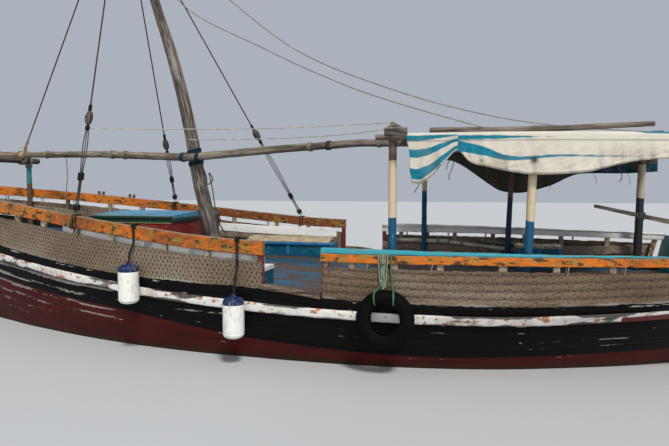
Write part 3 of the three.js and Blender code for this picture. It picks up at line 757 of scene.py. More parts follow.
@dataclass(frozen=True)
class Woven(Finish):
    """Coarse plaited palm leaf on a UV map of metres along and metres up."""

    name: str
    plait: Plait
    light: Colour = (0.215, 0.15, 0.098)
    dark: Colour = (0.042, 0.028, 0.019)
    strand: float = 0.021  # its strands' pitch along the mat
    cell: tuple[float, float] = (0.057, 0.046)  # the lattice of gaps, along and up
    leaf: float = 0.019  # pitch of the plain weave

    def rows(self, tree: Tree, u: Sock, v: Sock) -> tuple[Sock, Sock]:
        """Plaits with a dark line between rows and fine broken strands in them.

        Args:
            tree: takes the nodes.
            u: metres along the mat.
            v: metres up it.
        Returns:
            Height and shadow.
        """
        across = tree.math("FRACT", v / PLAIT)
        ridge = (across * math.pi).sine()
        strand = abs(((u / self.strand + across * 0.5) * math.pi).sine())
        broken = tree.noise(55, 4, (0.6, 1, 1), tree.vector(u, v), 2.0)
        shadow = (1 - ridge ** 0.35) * 0.9 + (1 - strand) ** 2 * 0.28 + broken.step(0.5, 0.66) * 0.55
        return ridge * 0.6 + strand * 0.15 - broken.step(0.5, 0.7) * 0.4, shadow

    def ticks(self, tree: Tree, u: Sock, v: Sock) -> tuple[Sock, Sock]:
        """A weave with a short upright gap at each point of the lattice.

        Args:
            tree: takes the nodes.
            u: metres along the mat.
            v: metres up it.
        Returns:
            Height and shadow.
        """
        rank = v / self.cell[1]
        odd = tree.math("MODULO", tree.math("FLOOR", rank), 2.0)
        along, across = tree.math("FRACT", u / self.cell[0] + odd * 0.5), tree.math("FRACT", rank)
        gap = 1 - abs(along - 0.5).step(0.04, 0.17)
        gap = gap * (1 - abs(across - 0.5).step(0.15, 0.42))
        pitch = TURN / self.leaf
        weave = ((u + v * 0.8) * pitch).sine() * ((u - v * 0.8) * pitch).sine()
        swell = (along * math.pi).sine() * (across * math.pi).sine()
        broken = tree.noise(60, 4, (1, 0.6, 1), tree.vector(u, v), 2.0).step(0.48, 0.68)
        return weave * 0.2 + (1 - swell) * 0.5 - gap * 0.7, gap * 0.85 + (1 - weave) * 0.12 + broken * 0.4

    def build(self, tree: Tree) -> None:
        """The plait's shadows, broken strands and large weathered patches.

        Args:
            tree: takes the nodes.
        """
        u, v = tree.uv()
        bent = u + (tree.noise(7, 3, shift=4.0) - 0.5) * 0.05
        height, dark = (self.rows if self.plait is Plait.ROWS else self.ticks)(tree, bent, v)
        fibre = tree.noise(120, 3, (1, 0.35, 1), tree.vector(u, v))
        patch = tree.noise(1.6, 4, (0.6, 1, 1), shift=3.0)
        # the shadow from rows or ticks is painted shade in the plait's hollows and gaps; tone adds painted
        # shade along a mat's top, under the rail
        colour = tree.layers(tree.tint((fibre * 0.5 + patch * 0.5).step(0.38, 0.62), self.light, 0.55),
            (patch.step(0.52, 0.7) * 0.5, (0.27, 0.25, 0.215)), (dark, self.dark),
            (tree.wear * 0.6, (0.46, 0.43, 0.37)), (tree.tone * 0.8, shade(self.dark, 0.5)))
        tree.surface(colour, 0.9, height + fibre * 0.25, 0.01)


@dataclass(frozen=True)
class Canvas(Finish):
    """Cotton canvas: striped where 'line' is above 0, stained, creased, darker where 'tone' is high."""

    name: str
    plain: Colour = (0.76, 0.74, 0.65)
    stripe: Colour = (0.035, 0.3, 0.33)
    stain: Colour = (0.26, 0.21, 0.14)
    stains: float = 0.5
    thread: float = 0.004  # pitch of the weave

    def build(self, tree: Tree) -> None:
        """A fine weave on the UV map, water stains with dark rims and a slow yellowing.

        Args:
            tree: takes the nodes.
        """
        weave = [(t * (TURN / self.thread)).sine() for t in tree.uv()]
        crumple = tree.noise(12, 5, shift=3.0)
        fade = tree.noise(3.3, 4, shift=7.0)
        striped = (tree.line + (crumple - 0.5) * 0.02).step(-0.006, 0.006)
        blot = tree.noise(4.2, 6, shift=11.0)
        rim = 1 - abs(blot - 0.6).step(0.004, 0.022)
        # tone darkens towards near black: painted shade in the bench canvas's folds and under the awning's
        # pole; it also darkens the awning's hems and one spot
        colour = tree.layers(tree.tint(fade, self.plain, 0.74),
            (striped, tree.tint(crumple, self.stripe, 0.65, 1.35)),
            (blot.step(0.52, 0.72) * self.stains, self.stain),
            (rim * self.stains * 0.5, shade(self.stain, 0.7)),
            (tree.wear * 0.7, (0.33, 0.18, 0.08)), (tree.tone, (0.03, 0.034, 0.038)))
        tree.surface(colour, 0.88, crumple * 0.6 + weave[0] * weave[1] * 0.12, 0.01, Sheen_Weight=0.15)


@dataclass(frozen=True)
class Rope(Finish):
    """Laid rope on a UV map of turns round and turns of lay along."""

    name: str
    colour: Colour

    def build(self, tree: Tree) -> None:
        """Strands wind round; yarns run in them; painted shade darkens the grooves between them.

        Args:
            tree: takes the nodes.
        """
        u, v = tree.uv()
        strand = abs(((u + v) * (math.pi * STRANDS)).sine())
        yarn = abs(((u * 2 - v) * (math.pi * STRANDS * 3)).sine())
        fade = tree.noise(9, 4)
        # painted shade and highlight: darker in the grooves between the strands, lighter on their crowns
        colour = tree.layers(tree.tint(strand ** 0.5 * 0.75 + fade * 0.25, self.colour, 0.3, 1.25),
            (fade.step(0.52, 0.7) * 0.5, shade(self.colour, 1.8)))
        tree.surface(colour, 0.92, strand + yarn * 0.3, 0.003)


@dataclass(frozen=True)
class Scuffed(Finish):
    """Moulded rubber or plastic, dusty and scuffed; a second colour where 'line' is above 0."""

    name: str
    colour: Colour
    second: Colour
    rough: float = 0.5
    dust: Colour = (0.2, 0.18, 0.15)
    gloss: float = 0.2

    def build(self, tree: Tree) -> None:
        """Scratches run round; dust lies in slow patches.

        Args:
            tree: takes the nodes.
        """
        scratch, patch = tree.noise(60, 5, (1, 1, 0.25)), tree.noise(5, 5, shift=3.0)
        colour = tree.layers(self.colour, (tree.line.step(-0.002, 0.002), self.second),
            ((patch * 0.5 + scratch * 0.5).step(0.5, 0.68) * 0.6, self.dust),
            (scratch.step(0.62, 0.7) * 0.5, shade(self.dust, 0.4)))
        height = scratch * 0.4 + patch * 0.3
        tree.surface(colour, patch * 0.3 + self.rough, height, 0.002, Specular_IOR_Level=self.gloss)


@dataclass(frozen=True)
class Iron(Finish):
    """Rusty iron strap."""

    name: str = "rusty_iron"

    def build(self, tree: Tree) -> None:
        """Rust over dark metal, in scales.

        Args:
            tree: takes the nodes.
        """
        scale = tree.noise(40, 6)
        colour = tree.mix(scale.step(0.42, 0.62), (0.035, 0.025, 0.022), (0.22, 0.075, 0.025))
        tree.surface(colour, scale * 0.4 + 0.5, scale, 0.004, Metallic=0.4)


BLACK = HullPaint()
WALE = WalePaint()
OILED = RailVarnish()
TEAL = Painted("teal_paint", (0.04, 0.34, 0.42), second=(0.085, 0.27, 0.3), wear=0.2)
TEAL_STERN = Painted("teal_stern", (0.02, 0.2, 0.2), wear=0.2, grain=Grain.ACROSS)
DARK_GREEN = Painted("dark_green", (0.008, 0.045, 0.03), wear=0.12)
WHITE = Painted("white_plank", (0.82, 0.81, 0.76), wear=0.03, wood=(0.22, 0.17, 0.12))
CREAM = Painted("cream_plank", (0.6, 0.54, 0.4), wear=0.25)
BLUE = Painted("dull_blue", (0.003, 0.07, 0.125), second=(0.01, 0.13, 0.2), wear=0.14)
BLUE_EDGE = Painted("blue_edge", (0.02, 0.16, 0.38), wear=0.15)
PALE_BLUE = Painted("pale_blue", (0.075, 0.3, 0.46), second=(0.05, 0.22, 0.36), wear=0.1)
MAROON = Painted("maroon", (0.17, 0.012, 0.012), second=(0.22, 0.03, 0.022), wear=0.12)
MAROON_EDGE = Painted("maroon_edge", (0.15, 0.02, 0.018), wear=0.25)
DECK = Painted("deck_blue",
    (0.002, 0.092, 0.175), second=(0.07, 0.036, 0.02), wood=(0.1, 0.06, 0.038), wear=0.36)
STUB = Painted("stub_paint", (0.34, 0.29, 0.21), second=(0.17, 0.075, 0.04), wear=0.36, grain=Grain.UPRIGHT)
INNER = Painted("inner_plank", (0.1, 0.045, 0.025), second=(0.15, 0.11, 0.075), wear=0.34)
BOTTOM = Painted("bottom_red", (0.06, 0.013, 0.012), wear=0.15, wood=(0.1, 0.08, 0.06), grain=Grain.UPRIGHT)
STEM_BLACK = Painted("stem_black", (0.012, 0.012, 0.014), wear=0.22, grain=Grain.UPRIGHT)
YELLOWED = Painted("yellowed_edge", (0.3, 0.25, 0.11), wear=0.25)
BARE = Timber(light=(0.3, 0.25, 0.2), dark=(0.085, 0.064, 0.048), checks=0.6)
BARE_ALONG = Timber("tiller_timber", grain=Grain.ALONG)
PALE = Timber("pale_timber", light=(0.36, 0.3, 0.235), dark=(0.115, 0.088, 0.065), checks=0.7)
DARK = Timber("dark_timber", light=(0.16, 0.125, 0.095), dark=(0.045, 0.034, 0.027), checks=0.6)
GREY = Timber("grey_timber", light=(0.27, 0.235, 0.2), dark=(0.07, 0.057, 0.047), checks=0.95)
SILL = Timber("sill_timber",
    light=(0.34, 0.27, 0.2), dark=(0.075, 0.05, 0.034), checks=0.9, grain=Grain.ALONG)
CREAM_BARE = Timber("cream_pole", light=(0.62, 0.57, 0.46), dark=(0.3, 0.25, 0.18), checks=0.25)
TARRED = Rope("tarred_rope", (0.05, 0.04, 0.032))
HEMP = Rope("grey_rope", (0.24, 0.215, 0.17))
TAN = Rope("tan_rope", (0.36, 0.245, 0.13))
GREEN_ROPE = Rope("green_rope", (0.07, 0.17, 0.085))
BLUE_ROPE = Rope("blue_rope", (0.012, 0.035, 0.06))
PALE_GREEN = Rope("pale_green_rope", (0.27, 0.36, 0.25))
BLACK_ROPE = Rope("black_rope", (0.02, 0.019, 0.02))
PALE_ROPE = Rope("pale_rope", (0.47, 0.44, 0.37))
MAT_AFT = Woven("mat_rows", Plait.ROWS)
MAT_FORE = Woven("mat_ticks", Plait.TICKS, light=(0.3, 0.225, 0.155), dark=(0.035, 0.025, 0.018))
STRIPED = Canvas("striped_canvas", plain=(0.88, 0.82, 0.69), stripe=(0.001, 0.215, 0.31), stains=0.2)
# the awning's inside: a dark copy of the striped canvas, painted shade
AWNING_SHADE = Canvas("awning_lining", plain=(0.125, 0.118, 0.088), stripe=(0.008, 0.085, 0.14), stains=0.3)
OLD_CANVAS = Canvas("old_canvas", plain=(0.56, 0.44, 0.28), stains=0.35)
RUBBER = Scuffed("old_rubber",
    (0.0025, 0.0025, 0.003), (0.0025, 0.0025, 0.003), 0.6, (0.009, 0.008, 0.007), 0.06)
PLASTIC = Scuffed("fender_plastic",
    (0.78, 0.77, 0.72), (0.008, 0.02, 0.075), rough=0.35, dust=(0.42, 0.4, 0.36))
IRON = Iron()


# What the frame says
def vertices(node: str) -> Array:
    """A node's points, each once.

    Args:
        node: the node.
    Returns:
        The points (n, 3), sorted.
    """
    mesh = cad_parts[node].data
    co = np.empty(len(mesh.vertices) * 3, np.float32)
    mesh.vertices.foreach_get("co", co)
    return np.unique(co.reshape(-1, 3).round(5).astype(float), axis=0)


def corners(node: str) -> tuple[Array, Array]:
    """A node's lowest and highest corner."""
    low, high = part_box(node)
    return np.array(low), np.array(high)


def read_rings(node: str, axis: int, gap: float = 0.3) -> Array:
    """The rings of a log's node, in order along an axis.

    Args:
        node: the node.
        axis: number of the axis that it runs along.
        gap: rings lie further apart than this.
    Returns:
        Rows of x, y, z and radius.
    """
    points = vertices(node)
    points = points[points[:, axis].argsort()]
    groups = np.split(points, np.nonzero(np.diff(points[:, axis]) > gap)[0] + 1)
    middles = [g.mean(0) for g in groups]
    return np.array([[*m, np.linalg.norm(g - m, axis=1).mean()] for g, m in zip(groups, middles)])


def dress(node: str, finish: Finish) -> None:
    """Gives a node's own object a finish.

    Args:
        node: the node.
        finish: its finish.
    """
    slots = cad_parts[node].data.materials
    slots.clear()
    slots.append(finish.material())


@dataclass
class HullLines:
    """The hull's lines as curves of the station x, read from the port half's node."""

    lean: float = 0.22 / 0.95  # how fast the rake grows aft of lean_start
    lean_start: float = -4.9
    steps: int = 12
    level: float = 2e-4  # heights nearer than this are one
    abreast: float = 2e-3  # stations nearer than this are one
    stations: Array = field(init=False)
    table: Array = field(init=False)  # rabbet, sheer, half breadth, deck's underside and its half width
    skins: Array = field(init=False)

    def __post_init__(self) -> None:
        """Sorts the node's points into stations and reads each section."""
        points = vertices("hull_port")
        station = self.station(points).round(3)
        self.stations = np.unique(station)
        rows, skins = [], []
        for s in self.stations:
            y, z = points[station == s][:, 1:].T
            low, high, under = z.min(), z.max(), z[y < 0.001].max()
            heights = low + (high - low) * np.arange(self.steps + 1) / self.steps
            skins.append([y[np.abs(z - h) < self.level].max() for h in heights])
            rows.append(
                [low, high, skins[-1][-1], under, y[(np.abs(z - under) < self.level) & (y > 0.001)].min()])
        self.table, self.skins = np.array(rows), np.array(skins)

    def station(self, points: Array) -> Array:
        """The station of points in space: x with the stern's rake taken out.

        Args:
            points: the points (..., 3).
        Returns:
            Their stations (...).
        """
        x, z = points[..., 0], points[..., 2]
        raked = (x + self.lean_start * self.lean * z) / (1 + self.lean * z)
        return np.where(raked < self.lean_start, raked, x)

    def place(self, s: Any, y: Any, z: Any) -> Array:
        """Points in space from stations, half breadths and heights: x = s, raked aft near the stern.

        Args:
            s: stations.
            y: half breadths.
            z: heights.
        Returns:
            The points (..., 3).
        """
        points = spread(s, y, z).astype(float)
        points[..., 0] -= self.lean * np.maximum(self.lean_start - points[..., 0], 0) * points[..., 2]
        return points

    def read(self, column: int, s: Any) -> Array:
        """A smooth curve through one of the table's columns."""
        return smooth(self.stations, self.table[:, column], s)

    rabbet, sheer, half = partialmethod(read, 0), partialmethod(read, 1), partialmethod(read, 2)

    def under(self, s: Any) -> Array:
        """Height of the deck's underside, straight between stations as the deck steps."""
        return np.interp(s, self.stations, self.table[:, 3])

    def inner(self, s: Any) -> Array:
        """Half breadth of the wall inside the rim, at the deck's underside."""
        return np.interp(s, self.stations, self.table[:, 4])

    def skin(self, s: Array, z: Array) -> Array:
        """Half breadth of the planking: a cubic through the section's points at each station.

        Args:
            s: stations (n,).
            z: heights (n, m).
        Returns:
            Half breadths (n, m).
        """
        rows = smooth(self.stations, self.skins, s)
        low, high = self.rabbet(s)[:, None], self.sheer(s)[:, None]
        f = np.clip((z - low) / (high - low) * self.steps, 0, self.steps)
        k = np.clip(np.floor(f).astype(int), 0, self.steps - 1)
        t = f - k
        a, b, c, d = (np.take_along_axis(rows, np.clip(k + o, 0, self.steps), 1) for o in (-1, 0, 1, 2))
        bend, twist = 2 * a - 5 * b + 4 * c - d, 3 * b - a - 3 * c + d
        return 0.5 * (2 * b + (c - a) * t + bend * t**2 + twist * t**3)

    def top_line(self, node: str) -> tuple[Array, Array]:
        """The top of a node that follows the side.

        Args:
            node: the node.
        Returns:
            Its stations, and its highest point at each.
        """
        points = vertices(node)
        station = self.station(points)
        low, high = station.min(), station.max()
        near = [s for s in self.stations if low < s + self.abreast and s - self.abreast < high]
        near = np.unique(np.round([low, *near, high], 3))
        tops = np.array([points[np.abs(station - s) < self.abreast][:, 2].max(initial=-9) for s in near])
        return near[tops > -9], tops[tops > -9]


LINES = HullLines()
FORE_RAIL_LINE = LINES.top_line("bulwark_fore_port")
DECK_THICK = 0.035
RIM = 0.075  # width of the planking's rim, which the rails stand over
GANGWAY = (-1.93, -1.29)  # its after and fore end
STERN, BOW = -5.85, 5.8  # the stations of the hull's ends


def rail_top(s: Any) -> Array:
    """Height of the fore rail's top."""
    return smooth(*FORE_RAIL_LINE, s)


@dataclass
class Hull:
    """Planking, wales, keel timbers and transom."""

    strakes: int = 14
    groove: float = 0.004
    step: float = 0.07
    paint_line: Table = ((-5.85, 0.24), (-3.0, 0.16), (-1.2, 0.26),
        (0.05, 0.42), (0.7, 0.5), (1.4, 0.55), (2.6, 0.68), (3.8, 0.85), (4.6, 1.0), (5.8, 1.3))
    wale_tall: float = 0.1
    wale_proud: float = 0.028
    wale_red: float = -4.85  # aft of this the band's lower half is dark red
    transom_top: float = 1.29

    def planking(self, side: Side) -> None:
        """The skin with its seams, the rim and the wall inside it, closed along the deck's underside.

        Strakes narrow upwards. A row of the grid runs from the keel up the skin to the sheer, with a dip at
        each seam.

        Args:
            side: the side of the boat.
        """
        rng = seeded(f"planking{side.word}")
        s = run(STERN, BOW, self.step)
        share = np.linspace(0, 1, self.strakes + 1)
        seams = share * 1.12 - 0.12 * share**2
        across = np.array([0.0, 0.04, 0.12, 0.3, 0.5, 0.7, 0.88, 0.96])
        t = np.r_[(seams[:-1, None] + np.diff(seams)[:, None] * across).ravel(), 1.0]
        strake = np.r_[np.repeat(np.arange(self.strakes), len(across)), self.strakes - 1]
        share = np.r_[np.tile(across, self.strakes), 1.0]
        low, high = LINES.rabbet(s)[:, None], LINES.sheer(s)[:, None]
        z = low + (high - low) * t
        relief = np.clip(np.minimum(share, 1 - share) / 0.12, 0, 1)[None] - 1
        wander = ripple(rng, spread(s[:, None], strake[None] * 3.0), 1.3, 0.0012)
        y = np.maximum(LINES.skin(s, z) + self.groove * relief * ease(high - low, 0.15, 0.6) + wander,
            0.0002)
        half, top = LINES.half(s)[:, None], LINES.sheer(s)[:, None]
        floor = LINES.under(s)[:, None] + DECK_THICK * 0.4
        wall, middle = np.maximum(half - RIM, 0.005), np.full((len(s), 1), 0.00015)
        inner = np.minimum(LINES.inner(s)[:, None], wall)
        ring_y = np.concatenate([middle, y, half - 0.02, wall, inner, middle], 1)
        ring_z = np.concatenate([low, z, top, top, floor, floor], 1)
        dashes = ripple(rng, spread(s[:, None], strake[None] * 5.0), 0.8, 0.28)
        wear = (np.minimum(share, 1 - share) < 0.13) * (0.25 + 0.5 * ease(s[:, None], -2.2, 2.5) + dashes)
        pad = ((0, 0), (1, 4))
        wear = np.pad(wear * ease(np.arange(len(t)) / len(t), 0.3, 0.75), pad)
        line = ring_z - smooth(*np.array(self.paint_line).T, s)[:, None]
        tone = np.pad(np.broadcast_to(rng.uniform(0, 1, self.strakes)[strake], z.shape), pad, mode="edge")
        points = LINES.place(s[:, None], ring_y * side.value, ring_z)
        shape = Shape().tube(points, wear=wear, line=line, tone=tone)
        shape.make(f"planking_{side.word}", BLACK, "hull_paint", replaces=[f"hull_{side.word}"], sharp=60)

    def wale(self, side: Side) -> None:
        """The white rubbing band in three dented lengths with rounded edges, and a spike at each frame.

        Args:
            side: the side of the boat.
        """
        rng = seeded(f"wale{side.word}")
        at, top = LINES.top_line(f"wale_{side.word}")
        outline = np.array(
            [[-0.002, 0], [0.8, 0], [1, 0.08], [1.02, 0.35], [1.02, 0.65], [1, 0.92], [0.8, 1], [-0.002, 1]])
        shape = Shape()
        for start, end in ((-5.82, -2.404), (-2.4, 1.896), (1.9, 5.64)):
            s = run(start, end, 0.04)
            high = smooth(at, top, s)[:, None]
            z = high - self.wale_tall * (1 - outline[:, 1])
            dents = ripple(rng, spread(s[:, None], z), 0.22, 0.0022) * (outline[:, 0] > 0.1)
            y = LINES.skin(s, z) + self.wale_proud * outline[:, 0] + dents
            line = high - self.wale_tall * 0.5 + (self.wale_red - s[:, None]) * 0.045 - z
            shape.tube(LINES.place(s[:, None], y * side.value, z),
                line=np.where(s[:, None] < self.wale_red, line, -0.5),
                tone=rng.uniform(0, 1), wear=bump(outline[:, 1], 0, 0.15) + bump(outline[:, 1], 1, 0.15))
        for s in np.arange(-5.6, 5.6, 0.42):
            where = np.array([s + rng.uniform(-0.05, 0.05)])
            z = smooth(at, top, where) - self.wale_tall * rng.uniform(0.3, 0.7)
            centre = LINES.place(where, LINES.skin(where, z[:, None])[0] + self.wale_proud, z)[0]
            a, b = circle(1, 6).T
            spike = ((0.009, -0.004), (0.009, 0.002), (0.004, 0.0045))
            rings = np.array([spread(r * a, out, r * b) for r, out in spike])
            shape.tube((centre + rings) * (1, side.value, 1), part=1)
        shape.make(f"rubbing_band_{side.word}", [WALE, IRON], "white_paint", replaces=[f"wale_{side.word}"])

    def stern(self) -> None:
        """Finishes of the keel timbers, the transom and its mouldings."""
        for node, finish in (("keel", BOTTOM),
                ("stem", STEM_BLACK), ("sternpost", STEM_BLACK), ("transom", TEAL_STERN)):
            dress(node, finish)
        shape = Shape()
        y = np.linspace(-1, 1, 40)
        for drop, wide, part in ((0.055, 0.05, 0), (0.2, 0.035, 1), (0.52, 0.045, 0), (0.8, 0.035, 1)):
            z = self.transom_top - drop
            reach = LINES.skin(np.r_[STERN], np.array([[z]]))[0, 0] - 0.03
            back = LINES.place(STERN, y * reach, z - 0.065 * y**2 * (drop < 0.3)) - (0.054, 0, 0)
            shape.bar(back, 0.018, wide, rough=0.0008, part=part, wear=0.3)
        shape.make("transom_mouldings", [WHITE, OILED], "white_paint")

    def stem_irons(self) -> None:
        """Iron bands round the stem head."""
        shape = Shape()
        band = np.array([[5.845, -0.086], [6.01, -0.086], [6.01, 0.086], [5.845, 0.086]])
        for z in (2.02, 2.16):
            shape.tube(np.stack([np.c_[band, np.full(4, z + dz)] for dz in (0, 0.03)]))
        shape.make("stem_irons", IRON, "hull_paint")

    def build(self) -> None:
        """Everything in order."""
        for side in Side:
            self.planking(side)
            self.wale(side)
        self.stern()
        self.stem_irons()


@dataclass
class Decks:
    """The three decks as fore-and-aft planks with open seams."""

    plank: float = 0.155
    seam: float = 0.006
    clear: float = 0.006

    def build(self) -> None:
        """Each deck as planks cut off at the side; a plank's width runs between lines of constant y."""
        for node, start, end in (("deck_aft", STERN, -1.932),
                ("deck_midship", -1.928, 0.444), ("deck_fore", 0.456, 5.44)):
            rng = seeded(node)
            shape = Shape()
            s = run(start, end, 0.09, 8)
            wide = self.width(s)
            for a in np.arange(-2.4, 2.4, self.plank):
                b = a + self.plank - self.seam
                keep = np.nonzero((np.minimum(b, wide) - np.maximum(a, -wide)) > 0.02)[0]
                if len(keep) >= 3:
                    self.lay(shape, rng, s[keep[0]:keep[-1] + 1], a, b)
            shape.make(f"{node}_planks", DECK, "deck_plank", replaces=[node])

    def width(self, s: Array) -> Array:
        """Half width of the deck inside the rim's wall."""
        return np.minimum(LINES.inner(s), LINES.half(s) - RIM) - self.clear

    def lay(self, shape: Shape, rng: np.random.Generator, s: Array, a: float, b: float) -> None:
        """Lays one run of planking, in lengths with butts between them.

        Args:
            shape: takes the planks.
            rng: draws their lengths and tones.
            s: the run's stations.
            a: its starboard edge.
            b: its port edge.
        """
        cuts = [s[0], s[0] + rng.uniform(1.4, 3.2)]
        while cuts[-1] < s[-1] - 1.2:
            cuts.append(cuts[-1] + rng.uniform(2.0, 3.2))
        cuts[-1] = s[-1]
        for start, end in zip(cuts[:-1], cuts[1:]):
            at = np.linspace(start, end - 0.004, max(int((end - start) / 0.12), 4))
            wide = self.width(at)
            y1 = np.minimum(b, wide)
            y0 = np.minimum(np.maximum(a, -wide), y1 - 0.012)
            top = LINES.under(at) + DECK_THICK + rng.uniform(-0.0025, 0.0)
            low = top - DECK_THICK * 0.55
            ring_y = spread(y0, y1, y1, y1 - 0.004, (y0 + y1) / 2, y0 + 0.004, y0)
            ring_z = spread(low, low, top - 0.004, top, top - 0.0015, top, top - 0.004)
            points = LINES.place(at[:, None], ring_y, ring_z)
            points[..., 2] += ripple(rng, points[..., :2], 0.6, 0.0008) * (ring_z > low[:, None])
            shape.tube(points, tone=rng.uniform(0, 0.8), wear=rng.uniform(-0.35, 0.35))


@dataclass
class Bulwarks:
    """Rails on stanchions, the painted cap aft, the strakes inside and the boards across the gangways."""

    fore_tall: float = 0.148
    aft_top: float = 1.245
    aft_tall: float = 0.085
    cap_top: float = 1.302
    cap_slope: float = 0.0135
    proud: float = 0.005
    stub_in: float = 0.0475  # from the side's edge in to the stanchions' middles
    strake: tuple[float, float] = (0.094, 0.0745)  # from the side's edge in to the inner strakes' faces
    aft_at: tuple[float, ...] = (-5.76, -5.3, -4.78, -4.25, -3.75, -3.15, -2.7, -2.25, -1.965)
    fore_at: tuple[float, ...] = (-1.255, -0.62, -0.06, 0.7, 1.25, 1.8, 2.3, 2.85, 3.55, 4.15, 4.75, 5.33)

    def band(self, shape: Shape, side: Side, s: Array, inner: float, outer: float, low: Any,
            high: Any, tone: Any = 0.0, top_wear: float = 1.0, part: int = 0, name: str = "") -> None:
        """A plank that follows the side between two distances in from it and two heights.

        Args:
            shape: takes the plank.
            side: the side of the boat.
            s: its stations.
            inner: how far in its inner face lies.
            outer: how far in its outer face lies.
            low: height of its foot, a number or one a station.
            high: height of its top.
            tone: as in Shape.grid.
            top_wear: wear of its top face; its corners take half.
            part: as in Shape.grid.
            name: seeds its unevenness.
        """
        rng = seeded(f"{name}{inner}{side.word}")
        low, high = (np.broadcast_to(np.asarray(v, float), s.shape) for v in (low, high))
        cut = 0.007
        a, b = np.maximum(LINES.half(s) - inner, 0.012), LINES.half(s) - outer
        y = spread(a, a, a + cut, (a + b) / 2, b - cut, b, b, b, b - cut, a + cut)
        z = spread(low + cut,
            high - cut, high, high, high, high - cut, (low + high) / 2, low + cut, low, low)
        points = LINES.place(s[:, None], y * side.value, z)
        points = points + spread(0 * y, ripple(rng, points, 0.5, 0.0022), ripple(rng, points, 0.4, 0.002))
        wear = np.array([0.2, 0.45, 0.9, 1, 0.9, 0.45, 0.05, 0.2, 0.1, 0.1]) * top_wear
        shape.tube(points, wear=wear, tone=tone, part=part)

    def stanchions(self, side: Side) -> None:
        """Stubs between the planking's rim and the rails, split, patched and in odd colours.

        Args:
            side: the side of the boat.
        """
        rng = seeded(f"stanchion{side.word}")
        shape = Shape()
        for s in (*self.aft_at, *self.fore_at):
            top = self.aft_top - self.aft_tall if s < GANGWAY[0] else rail_top(s) - self.fore_tall
            end = s in (self.aft_at[-1], self.fore_at[0])
            x = s + rng.uniform(-0.004, 0.004)
            lean = 0.0 if end else rng.uniform(-0.008, 0.008)
            path = LINES.place(np.linspace(x, x + lean, 6), (LINES.half(s) - self.stub_in) * side.value,
                np.linspace(LINES.sheer(s) + 0.001, top + 0.002, 6))
            shape.bar(path, 0.049, 0.066, UPRIGHT_REF,
                rough=0.0015, part=int(end), tone=rng.uniform(0, 0.7), wear=rng.uniform(-0.3, 0.3))
        shape.make(f"stanchions_{side.word}", [STUB, MAROON_EDGE], "weathered_timber")

    def rails(self, side: Side) -> None:
        """The fore rail in three scarfed lengths, the aft rail in two with the painted cap inboard on top.

        Args:
            side: the side of the boat.
        """
        port = side is Side.PORT
        shape = Shape()
        for start, end, near, far in ((-1.29, 1.198, 0.6, 1.6),
                (1.2, 3.598, 0.45, 0.4), (3.6, BOW, 0.2, 0.2)):
            s = run(start, end, 0.06)
            self.band(shape, side, s, RIM, -self.proud,
                rail_top(s) - self.fore_tall, rail_top(s), near if port else far, name=f"fore{start}")
        shape.make(f"fore_rail_{side.word}", OILED, "rail_varnish", replaces=[f"bulwark_fore_{side.word}"])
        shape = Shape()
        low, high = self.aft_top - self.aft_tall, self.aft_top
        for start, end, brown in ((STERN, -3.902, 0.12), (-3.9, GANGWAY[0], 0.5)):
            self.band(shape,
                side, run(start, end, 0.06), RIM, -self.proud, low, high, brown, 0.8, name=f"aft{start}")
        for start, end in ((STERN, -4.002), (-4.0, GANGWAY[0])):
            s = run(start, end, 0.06)
            cap = self.cap_top + self.cap_slope * (s - GANGWAY[0])
            self.band(shape, side, s, 0.095, 0.014, high + 0.001, cap, 0.1, 0.15, 1, f"cap{start}")
        if not port:
            s = np.linspace(STERN, GANGWAY[0], 60)
            self.band(shape,
                side, s, RIM + 0.008, RIM - 0.002, low + 0.002, high - 0.003, 0.1, 0.2, 1, "facing")
        shape.make(f"aft_rail_{side.word}",
            [OILED, TEAL if port else WHITE], "teal_paint", replaces=[f"bulwark_aft_{side.word}"])

    def inner_strakes(self, side: Side) -> None:
        """Planks along the stanchions' inner faces: brown, and white amidships with a blue edge to port.

        Args:
            side: the side of the boat.
        """
        shape = Shape()
        port = side is Side.PORT
        white = (-1.28, 1.5) if port else (-1.14, 0.98)
        runs = ((-5.7, -3.5, 0.1, 0),
            (-3.494, -1.94, 0.1, 0), (*white, 0.205, 1), (white[1] + 0.006, 4.6, 0.13, 0))
        for start, end, lift, part in runs:
            s = run(start, end, 0.08)
            low = LINES.sheer(s) + lift
            high = low + (0.145 if part else 0.125)
            if part and port:
                high = rail_top(s) - self.fore_tall - 0.014
                self.band(shape,
                    side, s, 0.096, self.strake[1], high + 0.001, high + 0.013, part=2, name="edge")
            tone, wear = 0.3 * (1 - part), 0.6 - 0.5 * part
            self.band(shape, side, s, *self.strake, low, high, tone, wear, part, f"strake{start}")
            self.band(shape, side, s, *self.strake, low - 0.105, low - 0.01, 0.6, 0.6, name=f"low{start}")
        shape.make(f"inner_strakes_{side.word}", [INNER, WHITE, BLUE_EDGE], "weathered_timber")

    def sill(self, side: Side) -> None:
        """The rough board that covers the planking's rim across the gangway.

        Args:
            side: the side of the boat.
        """
        shape = Shape()
        s = np.linspace(GANGWAY[0] + 0.006, GANGWAY[1] - 0.006, 14)
        top = LINES.sheer(s)
        self.band(shape, side, s, 0.088, -0.022, top + 0.001, top + 0.06, 0.2, name="sill")
        shape.make(f"gangway_sill_{side.word}", SILL, "weathered_timber")

    def bitts(self) -> None:
        """Two pairs of short posts that stand up from the starboard fore rail."""
        shape = Shape()
        for s in (3.03, 2.96, 2.52, 2.45):
            path = spread(s, 0.04 - LINES.half(s), rail_top(s) + np.r_[0.001, 0.031, 0.061])
            shape.bar(path, 0.035, 0.04, UPRIGHT_REF, tone=0.4)
        shape.make("rail_bitts", GREY, "weathered_timber")

    def build(self) -> None:
        """Both sides, then the bitts."""
        for side in Side:
            self.rails(side)
            self.stanchions(side)
            self.inner_strakes(side)
            self.sill(side)
        self.bitts()


